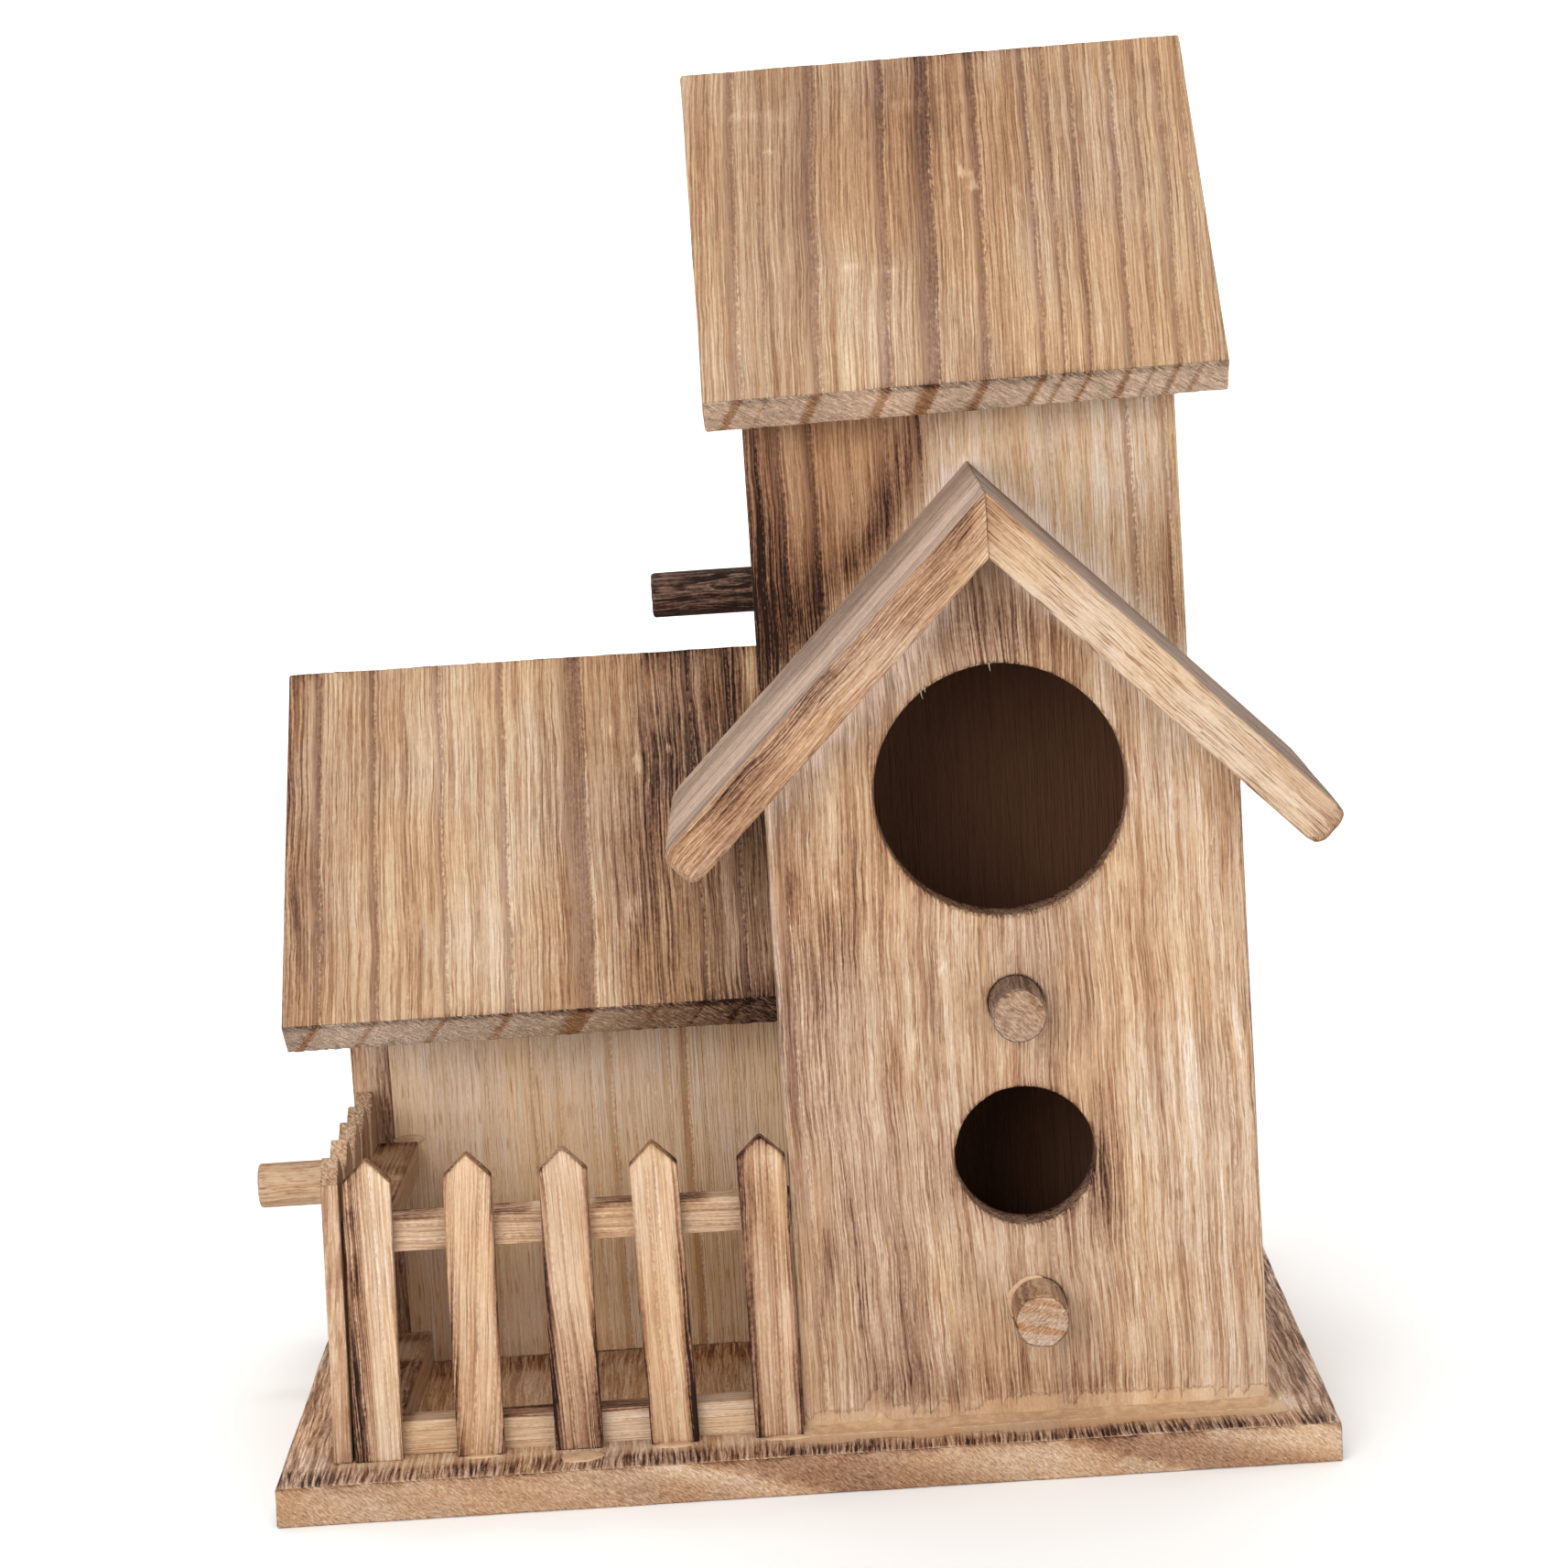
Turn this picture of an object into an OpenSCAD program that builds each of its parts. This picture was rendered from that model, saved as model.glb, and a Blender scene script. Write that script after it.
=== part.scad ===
// Three-part wooden birdhouse on one base board: a front house with a gable roof,
// a tower behind it, an annex at the left, and a picket fence round the front yard.
// Millimetres, +Z up, -Y is the front. The origin is the centre of the base's underside.

/* [Base board] */
// Width of the base board, left to right
base_w = 190; // [186:1:220]
// Depth of the base board, front to back
base_d = 152; // [146:1:180]
// Thickness of the base board
base_t = 7.2; // [5:0.1:12]

/* [Boards] */
// Thickness of the wall boards
wall_t = 7.4; // [5:0.1:8.5]

/* [Front house] */
// Left face of the front house, from the middle of the base
house_x = -0.4; // [-4:0.1:2]
// Width of the front house
house_w = 84.6; // [80:0.1:88]
// Distance from the base's front edge to the front wall
house_setback = 15.8; // [12:0.1:18]
// Middle of the upper entrance hole, from the middle of the base
big_hole_x = 41.7; // [38:0.1:46]
// Height of the middle of the upper entrance hole
big_hole_z = 122; // [118:0.1:124]
// Diameter of the upper entrance hole
big_hole_d = 45; // [36:0.5:48]
// Middle of the lower entrance hole, from the middle of the base
small_hole_x = 42.4; // [38:0.1:46]
// Height of the middle of the lower entrance hole
small_hole_z = 55.5; // [52:0.1:60]
// Diameter of the lower entrance hole
small_hole_d = 25.3; // [20:0.1:30]

/* [Gable roof] */
// Ridge of the gable roof, from the middle of the base
ridge_x = 41.2; // [39:0.1:43]
// Height of the gable roof's ridge
ridge_z = 176.5; // [172:0.5:180]
// Length of each gable board down the slope
gable_len = 85.2; // [80:0.1:88]
// Thickness of the gable boards
gable_t = 8.1; // [6:0.1:9]
// How far the gable roof's front edge stands in front of the base's front edge
gable_front = 0.8; // [0:0.1:3]

/* [Tower] */
// Width of the tower
tower_w = 81.1; // [78:0.1:84]
// Distance from the base's front edge to the tower's front wall
tower_setback = 68; // [67:0.1:70]
// Depth of the tower, front to back
tower_depth = 68; // [66:0.5:76]
// Left edge of the tower roof, from the middle of the base
tower_roof_x = -7.6; // [-9:0.1:-5]
// Width of the tower roof
tower_roof_w = 96.2; // [92:0.1:100]
// Height of the tower roof's lower front edge
tower_eave_z = 192.4; // [190:0.1:196]
// Horizontal distance from the tower roof's lower edge to its ridge
tower_run = 55.4; // [52:0.1:58]
// Height from the tower roof's lower edge to its ridge
tower_rise = 59.9; // [56:0.1:62]
// How far the tower roof is tipped sideways, right side up, in degrees
tower_roll = 1; // [0:0.1:1.2]

/* [Annex] */
// Outer face of the annex's left wall, from the middle of the base
annex_x = -83.7; // [-86:0.1:-83]
// Distance from the base's front edge to the annex's front panel
annex_setback = 76; // [75:0.1:78]
// Depth of the annex, front to back
annex_depth = 50; // [46:0.5:54]
// Left edge of the annex roof, from the middle of the base
annex_roof_x = -92.3; // [-95:0.1:-90]
// Height of the annex roof's lower front edge
annex_eave_z = 81.9; // [80:0.1:84]
// Horizontal distance from the annex roof's lower edge to its ridge
annex_run = 58.3; // [56:0.1:60]
// Height from the annex roof's lower edge to its ridge
annex_rise = 58.8; // [56:0.1:60]
// Thickness of the tower and annex roof boards
roof_t = 8.5; // [7:0.1:9]
// Diameter of the entrance holes in the tower and the annex
side_hole_d = 25.3; // [20:0.1:28]

/* [Perches] */
// Diameter of the two front perches
front_perch_d = 9.8; // [8:0.1:11]
// How far the front perches stand out of the front wall
front_perch_out = 11.9; // [8:0.1:16]
// Height of the upper front perch
upper_perch_z = 83.5; // [81:0.1:86]
// Height of the lower front perch
lower_perch_z = 27.9; // [25:0.1:32]
// Diameter of the tower's and the annex's perch
side_perch_d = 8.8; // [7:0.1:10]
// How far the tower's perch stands out of its wall
tower_perch_out = 19.9; // [12:0.1:25]
// Height of the tower's perch
tower_perch_z = 151.4; // [150:0.1:154]
// How far the annex's perch stands out of its wall
annex_perch_out = 22.6; // [12:0.1:25]
// Height of the annex's perch
annex_perch_z = 38.6; // [36:0.1:42]

/* [Fence] */
// Width of a picket
picket_w = 8.6; // [7:0.1:9.5]
// Thickness of a picket
picket_t = 3.2; // [2.5:0.1:3.4]
// Height of a picket from the base to its tip
picket_h = 56; // [54:0.5:60]
// Height of a picket's pointed end
picket_point = 4.3; // [3:0.1:6]
// Distance from the base's front edge to the front pickets
fence_setback = 12.6; // [12:0.1:13]
// Height of the front rails' section
rail_h = 6.3; // [5:0.1:7]
// Depth of the front rails' section
rail_d = 6; // [5:0.1:7]
// Width of the side rails
side_rail_w = 7.9; // [6:0.1:8.5]
// Height of the top rails' upper side
rail_top_z = 51.4; // [48:0.1:54]
// Lean of the side pickets towards the yard, in degrees
side_lean = 1.6; // [0:0.1:2]
// Turn of the side fence in plan, in degrees
side_turn = 1.4; // [0:0.1:2]

/* [Hidden] */
$fn = 96;
front = -base_d / 2;                       // y of the base's front edge
far = 400;                                 // longer than anything in the model
perch_gap = 0.05;                          // glue line round a perch in its hole

// front house
house_y = front + house_setback;           // face of the front wall
tower_y = front + tower_setback;           // face of the tower's front wall
house_r = house_x + house_w;               // right face of the front house
gable_y = front - gable_front;             // front edge of the gable roof
gable_drop = gable_t * sqrt(2);            // board thickness, measured straight down
gable_reach = gable_len / sqrt(2);         // run of a gable board, and its fall

// tower
tower_back_y = tower_y + tower_depth;
tower_r = house_x + tower_w;
tower_ridge_y = tower_y + tower_depth / 2 + 0.4;
tower_eave_y = tower_ridge_y - tower_run;
tower_slope = sqrt(tower_run * tower_run + tower_rise * tower_rise);
tower_drop = roof_t * tower_slope / tower_run;
tower_mid_x = tower_roof_x + tower_roof_w / 2;
tower_mid_z = tower_eave_z + tower_rise / 2;

// annex
annex_y = front + annex_setback;
annex_back_y = annex_y + annex_depth;
annex_ridge_y = annex_y + annex_depth / 2 - 0.1;
annex_eave_y = annex_ridge_y - annex_run;
annex_slope = sqrt(annex_run * annex_run + annex_rise * annex_rise);
annex_drop = roof_t * annex_slope / annex_run;

// fence
picket_y = front + fence_setback;
rail_y = picket_y + picket_t;
yard_y = rail_y + rail_d;                  // inner face of the front rails
side_x = -82.1;                            // side pickets' inner side at the foot, at the front rails
front_picket_x = [-77.4, -58.9, -41.2, -23.8, -4.9];
front_picket_lean = [1.8, 1.25, 0.7, -0.65, -0.2];
side_picket_at = [17.2, 31.2, 45, 58, 71.2];   // middles of the side pickets behind the front edge

light = "burlywood"; tan = "tan"; brown = "peru"; burnt = "saddlebrown"; grey = "rosybrown";

// height of the gable roof's underside at x
function gable_under(x) = ridge_z - gable_drop - abs(x - ridge_x);
// height of a pitched roof's underside at y
function pitched_under(y, ridge_y, eave_z, run, rise, drop) =
    eave_z + rise - drop - abs(y - ridge_y) * rise / run;
function tower_under(y) = pitched_under(y, tower_ridge_y, tower_eave_z, tower_run, tower_rise, tower_drop);
function annex_under(y) = pitched_under(y, annex_ridge_y, annex_eave_z, annex_run, annex_rise, annex_drop);

// an outline drawn in x and z, given its depth along y
module along_y(y0, y1) translate([0, y1, 0]) rotate([90, 0, 0]) linear_extrude(y1 - y0) children();
// an outline drawn in y and z, given its width along x
module along_x(x0, x1) translate([x0, 0, 0]) rotate([90, 0, 90]) linear_extrude(x1 - x0) children();
// a round hole or dowel along y, and one along x
module rod_y(x, z, d, y0, y1) translate([x, y1, z]) rotate([90, 0, 0]) cylinder(d = d, h = y1 - y0);
module rod_x(y, z, d, x0, x1) translate([x0, y, z]) rotate([0, 90, 0]) cylinder(d = d, h = x1 - x0);

module base_board() color(tan)
    translate([-base_w / 2, front, 0]) cube([base_w, base_d, base_t]);

// ---- front house ----
module front_house_front_wall() color(light) difference() {
    along_y(house_y, house_y + wall_t) polygon([
        [house_x, base_t], [house_r, base_t], [house_r, gable_under(house_r)],
        [ridge_x, gable_under(ridge_x)], [house_x, gable_under(house_x)]]);
    rod_y(big_hole_x, big_hole_z, big_hole_d, house_y - 1, house_y + wall_t + 1);
    rod_y(small_hole_x, small_hole_z, small_hole_d, house_y - 1, house_y + wall_t + 1);
    rod_y(big_hole_x + 0.5, upper_perch_z, front_perch_d + 2 * perch_gap, house_y - 1, house_y + wall_t + 1);
    rod_y(small_hole_x + 0.8, lower_perch_z, front_perch_d + 2 * perch_gap, house_y - 1, house_y + wall_t + 1);
}
module house_side(x) along_y(house_y + wall_t, tower_y) polygon([
    [x, base_t], [x + wall_t, base_t], [x + wall_t, gable_under(x + wall_t)], [x, gable_under(x)]]);
module front_house_left_wall() color(tan) house_side(house_x);
module front_house_right_wall() color(tan) house_side(house_r - wall_t);

module gable_board() along_y(gable_y, tower_y) polygon([
    [0, 0], [gable_reach, -gable_reach],
    [gable_reach - gable_t / sqrt(2), -gable_reach - gable_t / sqrt(2)], [0, -gable_drop]]);
module gable_roof_right_board() color(brown) translate([ridge_x, 0, ridge_z]) gable_board();
module gable_roof_left_board() color(grey) translate([ridge_x, 0, ridge_z]) mirror([1, 0, 0]) gable_board();

module front_perch(x, z) rod_y(x, z, front_perch_d, house_y - front_perch_out, house_y + wall_t);
module upper_front_perch() color(burnt) front_perch(big_hole_x + 0.5, upper_perch_z);
module lower_front_perch() color(burnt) front_perch(small_hole_x + 0.8, lower_perch_z);

// ---- tower ----
// the tower roof sits slightly tipped about its middle
module tipped() translate([tower_mid_x, 0, tower_mid_z]) rotate([0, -tower_roll, 0])
    translate([-tower_mid_x, 0, -tower_mid_z]) children();
// the walls reach up to the underside of the tipped roof
module under_tower_roof() difference() {
    children();
    tipped() along_x(-far / 2, far / 2) polygon([
        [tower_ridge_y, tower_under(tower_ridge_y)],
        [tower_ridge_y - 100, tower_under(tower_ridge_y - 100)], [tower_ridge_y - 100, far],
        [tower_ridge_y + 100, far], [tower_ridge_y + 100, tower_under(tower_ridge_y + 100)]]);
}
module tower_wall(y) under_tower_roof() translate([house_x, y, base_t]) cube([tower_w, wall_t, 230]);
module tower_side(x) under_tower_roof() translate([x, tower_y + wall_t, base_t])
    cube([wall_t, tower_depth - 2 * wall_t, 240]);
module tower_front_wall() color(brown) tower_wall(tower_y);
module tower_back_wall() color(brown) tower_wall(tower_back_y - wall_t);
module tower_left_wall() color(burnt) difference() {
    tower_side(house_x);
    rod_x(tower_ridge_y, tower_perch_z, side_perch_d + 2 * perch_gap, house_x - 1, house_x + wall_t + 1);
    rod_x(tower_ridge_y, tower_perch_z + 28, side_hole_d, house_x - 1, house_x + wall_t + 1);
}
module tower_right_wall() color(brown) tower_side(tower_r - wall_t);
module tower_perch() color("dimgray")
    rod_x(tower_ridge_y, tower_perch_z, side_perch_d, house_x - tower_perch_out, house_x + wall_t);

// one slope of a pitched roof, with its ridge cut plumb; it falls towards -y
module slope_board(x0, x1, run, rise, t) along_x(x0, x1) let (l = sqrt(run * run + rise * rise)) polygon([
    [0, 0], [-run, -rise], [-run + t * rise / l, -rise - t * run / l], [0, -t * l / run]]);
module tower_slope_board() slope_board(tower_roof_x, tower_roof_x + tower_roof_w, tower_run, tower_rise, roof_t);
module tower_roof_front_board() color(tan) tipped()
    translate([0, tower_ridge_y, tower_eave_z + tower_rise]) tower_slope_board();
module tower_roof_back_board() color(tan) tipped()
    translate([0, tower_ridge_y, tower_eave_z + tower_rise]) mirror([0, 1, 0]) tower_slope_board();

// ---- annex ----
module annex_left_wall() color(tan) difference() {
    along_x(annex_x, annex_x + wall_t) polygon([
        [annex_y, base_t], [annex_back_y, base_t], [annex_back_y, annex_under(annex_back_y)],
        [annex_ridge_y, annex_under(annex_ridge_y)], [annex_y, annex_under(annex_y)]]);
    rod_x(annex_ridge_y, annex_perch_z, side_perch_d + 2 * perch_gap, annex_x - 1, annex_x + wall_t + 1);
    rod_x(annex_ridge_y, annex_perch_z + 28, side_hole_d, annex_x - 1, annex_x + wall_t + 1);
}
module annex_front_panel() color(light) along_x(annex_x + wall_t, house_x) polygon([
    [annex_y, base_t], [annex_y + wall_t, base_t],
    [annex_y + wall_t, annex_under(annex_y + wall_t)], [annex_y, annex_under(annex_y)]]);
module annex_back_panel() color(light) along_x(annex_x + wall_t, house_x) polygon([
    [annex_back_y - wall_t, base_t], [annex_back_y, base_t],
    [annex_back_y, annex_under(annex_back_y)], [annex_back_y - wall_t, annex_under(annex_back_y - wall_t)]]);
module annex_roof_front_board() color(brown) translate([0, annex_ridge_y, annex_eave_z + annex_rise])
    slope_board(annex_roof_x, house_x, annex_run, annex_rise, roof_t);
module annex_roof_back_board() color(brown) translate([0, annex_ridge_y, annex_eave_z + annex_rise])
    mirror([0, 1, 0]) slope_board(annex_roof_x, house_x, annex_run, annex_rise, roof_t);
module annex_perch() color(light)
    rod_x(annex_ridge_y, annex_perch_z, side_perch_d, annex_x - annex_perch_out, annex_x + wall_t);

// ---- fence ----
// a picket's outline, with its foot a little too long so that it can be cut level
module picket_outline() polygon([
    [-picket_w / 2, -2], [picket_w / 2, -2], [picket_w / 2, picket_h - picket_point],
    [0, picket_h], [-picket_w / 2, picket_h - picket_point]]);
module above_base() difference() {
    children();
    translate([-far / 2, -far / 2, base_t - far]) cube(far);
}
module front_picket(i) color(i % 2 == 0 ? brown : light) above_base()
    translate([front_picket_x[i], 0, base_t]) rotate([0, front_picket_lean[i], 0])
        along_y(picket_y, picket_y + picket_t) picket_outline();
// the upright plane of the side pickets' inner sides, from the yard's front corner
module side_plane() translate([side_x, yard_y, base_t]) rotate([0, 0, -side_turn]) rotate([0, side_lean, 0]) children();
module side_picket(i) color(i % 2 == 0 ? light : brown) above_base() side_plane()
    translate([0, front + side_picket_at[i] - yard_y, 0]) along_x(-picket_t, 0) picket_outline();
// a side rail, cut on its outer side to the plane of the pickets
module side_rail(z0) difference() {
    translate([0, 0, z0]) linear_extrude(rail_h) polygon([
        [side_x - 3, yard_y], [side_x + 1 + side_rail_w, yard_y],
        [side_x + 2.2 + side_rail_w, annex_y], [side_x - 3, annex_y]]);
    side_plane() translate([-far, -far / 2, -far / 2]) cube(far);
}
module front_rail(z0) difference() {
    translate([side_x - 3, rail_y, z0]) cube([house_x - side_x + 3, rail_d, rail_h]);
    side_plane() translate([-far, -far / 2, -far / 2]) cube(far);
}
module front_picket_1() front_picket(0);
module front_picket_2() front_picket(1);
module front_picket_3() front_picket(2);
module front_picket_4() front_picket(3);
module front_picket_5() front_picket(4);
module side_picket_1() side_picket(0);
module side_picket_2() side_picket(1);
module side_picket_3() side_picket(2);
module side_picket_4() side_picket(3);
module side_picket_5() side_picket(4);
module front_rail_top() color(light) front_rail(rail_top_z - rail_h);
module front_rail_bottom() color(light) front_rail(base_t);
module side_rail_top() color(brown) side_rail(rail_top_z - rail_h);
module side_rail_bottom() color(brown) side_rail(base_t);

base_board();
front_house_front_wall();
front_house_left_wall();
front_house_right_wall();
gable_roof_left_board();
gable_roof_right_board();
upper_front_perch();
lower_front_perch();
tower_front_wall();
tower_left_wall();
tower_right_wall();
tower_back_wall();
tower_roof_front_board();
tower_roof_back_board();
tower_perch();
annex_left_wall();
annex_front_panel();
annex_back_panel();
annex_roof_front_board();
annex_roof_back_board();
annex_perch();
front_picket_1();
front_picket_2();
front_picket_3();
front_picket_4();
front_picket_5();
side_picket_1();
side_picket_2();
side_picket_3();
side_picket_4();
side_picket_5();
front_rail_top();
front_rail_bottom();
side_rail_top();
side_rail_bottom();
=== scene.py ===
import math

import bmesh
import bpy
import numpy as np
from mathutils import Matrix, Vector


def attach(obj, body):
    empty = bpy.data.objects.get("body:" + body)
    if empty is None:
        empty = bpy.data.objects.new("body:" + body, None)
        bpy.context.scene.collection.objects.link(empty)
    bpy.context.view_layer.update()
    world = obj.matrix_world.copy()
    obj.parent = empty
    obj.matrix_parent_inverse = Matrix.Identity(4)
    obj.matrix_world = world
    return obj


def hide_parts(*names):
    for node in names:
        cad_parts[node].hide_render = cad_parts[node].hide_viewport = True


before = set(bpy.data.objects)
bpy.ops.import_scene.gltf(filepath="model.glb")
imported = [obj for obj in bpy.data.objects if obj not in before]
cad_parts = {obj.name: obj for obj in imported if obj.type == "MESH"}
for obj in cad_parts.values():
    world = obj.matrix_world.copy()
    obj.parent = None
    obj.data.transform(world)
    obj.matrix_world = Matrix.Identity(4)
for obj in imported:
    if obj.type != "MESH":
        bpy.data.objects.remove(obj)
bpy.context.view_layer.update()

MM = 0.001

# ------------------------------------------------------------------ camera
# a long lens from the left front, a little above the ridge of the gable roof
YAW, PITCH, ROLL = math.radians(0.261), math.radians(-8.624), math.radians(3.708)
right = Vector((math.cos(YAW), math.sin(YAW), 0))
fwd = Vector((-math.sin(YAW), math.cos(YAW), 0))
up = Vector((0, 0, 1))
look = fwd * math.cos(PITCH) + up * math.sin(PITCH)
cam_up = up * math.cos(PITCH) - fwd * math.sin(PITCH)
r3 = right * math.cos(ROLL) - cam_up * math.sin(ROLL)
u3 = cam_up * math.cos(ROLL) + right * math.sin(ROLL)
cam_data = bpy.data.cameras.new("camera")
cam_data.sensor_width = 36.0
cam_data.lens = 36.0 * 4803.935 / 1713.0
cam_data.clip_start = 0.01
cam_data.clip_end = 20.0
camera = bpy.data.objects.new("camera", cam_data)
bpy.context.scene.collection.objects.link(camera)
m = Matrix.Identity(4)
for row in range(3):
    m[row][0], m[row][1], m[row][2] = r3[row], u3[row], -look[row]
m[0][3], m[1][3], m[2][3] = 0.006951, -0.830241, 0.24238
camera.matrix_world = m
bpy.context.scene.camera = camera

# ------------------------------------------------------------------ light
world = bpy.data.worlds.new("studio")
bpy.context.scene.world = world
world.use_nodes = True
world.node_tree.nodes["Background"].inputs[0].default_value = (1.0, 0.995, 0.985, 1)
world.node_tree.nodes["Background"].inputs[1].default_value = 0.62


def area(name, place, aim, size, power, colour=(1, 1, 1)):
    data = bpy.data.lights.new(name, "AREA")
    data.shape = "DISK"
    data.size = size
    data.energy = power
    data.color = colour
    ob = bpy.data.objects.new(name, data)
    bpy.context.scene.collection.objects.link(ob)
    ob.location = place
    ob.rotation_euler = (Vector(aim) - Vector(place)).to_track_quat("-Z", "Y").to_euler()
    return ob


area("key", (-0.65, -1.8, 0.62), (0, 0, 0.11), 1.0, 21.0, (1.0, 0.995, 0.98))
area("fill", (0.9, -1.6, 0.4), (0, 0, 0.1), 1.1, 8.0, (0.99, 0.995, 1.0))
area("top", (0.0, -0.3, 1.7), (0, 0, 0.1), 1.2, 8.0)
area("backdrop", (0.0, 1.2, 2.6), (0, 3.4, 0.9), 2.0, 75.0)

view = bpy.context.scene.view_settings
view.view_transform = "Standard"
view.look = "None"
view.exposure = 0.0
view.gamma = 1.0


# ------------------------------------------------------------------ numbers
def hashed(ix, iy, iz, seed):
    h = (ix.astype(np.int64) * 374761393 + iy.astype(np.int64) * 668265263
         + iz.astype(np.int64) * 1442695041 + int(seed) * 1274126177) & 0xFFFFFFFF
    h = ((h ^ (h >> 13)) * 1274126177) & 0xFFFFFFFF
    h = ((h ^ (h >> 15)) * 2246822519) & 0xFFFFFFFF
    return ((h ^ (h >> 16)) & 0xFFFFFF) / 16777215.0


def vnoise(x, y, z, seed):
    """Smooth value noise, 0 to 1."""
    x, y, z = np.broadcast_arrays(np.asarray(x, float), np.asarray(y, float), np.asarray(z, float))
    fx, fy, fz = np.floor(x), np.floor(y), np.floor(z)
    tx, ty, tz = x - fx, y - fy, z - fz
    tx, ty, tz = (t * t * (3 - 2 * t) for t in (tx, ty, tz))
    out = 0
    for dx in (0, 1):
        for dy in (0, 1):
            for dz in (0, 1):
                wgt = (tx if dx else 1 - tx) * (ty if dy else 1 - ty) * (tz if dz else 1 - tz)
                out = out + wgt * hashed(fx + dx, fy + dy, fz + dz, seed)
    return out


def sm(x, e0, e1):
    t = np.clip((x - e0) / (e1 - e0), 0, 1)
    return t * t * (3 - 2 * t)


def bell(x, c, w):
    return np.exp(-((x - c) / w) ** 2)


def blob(a, b, ca, cb, wa, wb):
    return np.exp(-((a - ca) / wa) ** 2 - ((b - cb) / wb) ** 2)


def rot_y(deg):
    t = math.radians(deg)
    return np.array([[math.cos(t), 0, math.sin(t)], [0, 1, 0], [-math.sin(t), 0, math.cos(t)]])


def rot_z(deg):
    t = math.radians(deg)
    return np.array([[math.cos(t), -math.sin(t), 0], [math.sin(t), math.cos(t), 0], [0, 0, 1]])


def rows(length, step, edge=(0.0, 0.14, 0.32, 0.6, 1.1), extra=()):
    """Positions along one side of a board, close together at its arrises."""
    edge = [e for e in edge if e < length * 0.3]
    mid = np.linspace(edge[-1], length - edge[-1], max(2, int(round((length - 2 * edge[-1]) / step)) + 1))
    out = set(round(v, 4) for v in list(edge) + list(mid) + [length - e for e in edge])
    for e in extra:
        near = min(out, key=lambda v: abs(v - e))
        if near not in (0.0, round(length, 4)):
            out.discard(near)
        out.add(round(e, 4))
    return np.array(sorted(out))


def new_mesh(name, verts, quads, smooth=True):
    me = bpy.data.meshes.new(name)
    me.vertices.add(len(verts))
    me.vertices.foreach_set("co", np.asarray(verts, np.float32).ravel())
    quads = np.asarray(quads, np.int32)
    me.loops.add(quads.size)
    me.loops.foreach_set("vertex_index", quads.ravel())
    me.polygons.add(len(quads))
    me.polygons.foreach_set("loop_start", np.arange(0, quads.size, quads.shape[1], dtype=np.int32))
    me.polygons.foreach_set("use_smooth", np.ones(len(quads), bool) if smooth else np.zeros(len(quads), bool))
    me.update(calc_edges=True)
    me.validate()
    return me


def outward(me):
    """Turns a closed mesh's faces outwards."""
    bm = bmesh.new()
    bm.from_mesh(me)
    bmesh.ops.recalc_face_normals(bm, faces=bm.faces[:])
    if bm.calc_volume(signed=True) < 0:
        bmesh.ops.reverse_faces(bm, faces=bm.faces[:])
    bm.to_mesh(me)
    bm.free()
    me.update()


def coords(me):
    co = np.zeros(len(me.vertices) * 3, np.float32)
    me.vertices.foreach_get("co", co)
    return co.reshape(-1, 3).astype(float) / MM


def lattice(us, vs, ws):
    """Vertices and faces of the skin of a box lattice."""
    nu, nv, nw = len(us) - 1, len(vs) - 1, len(ws) - 1
    I, J, K = np.meshgrid(np.arange(nu + 1), np.arange(nv + 1), np.arange(nw + 1), indexing="ij")
    skin = (I == 0) | (I == nu) | (J == 0) | (J == nv) | (K == 0) | (K == nw)
    ids = np.full(skin.shape, -1, np.int64)
    ids[skin] = np.arange(skin.sum())
    p = np.stack([us[I[skin]], vs[J[skin]], ws[K[skin]]], 1)
    quads = []

    def sheet(g, flip):
        a, b, c, d = g[:-1, :-1], g[1:, :-1], g[1:, 1:], g[:-1, 1:]
        q = np.stack([a, b, c, d], -1).reshape(-1, 4)
        quads.append(q[:, ::-1] if flip else q)

    sheet(ids[:, :, nw], False)
    sheet(ids[:, :, 0], True)
    sheet(ids[nu, :, :], False)
    sheet(ids[0, :, :], True)
    sheet(ids[:, nv, :], True)
    sheet(ids[:, 0, :], False)
    return p, np.concatenate(quads)


BOARDS = {}


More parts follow.
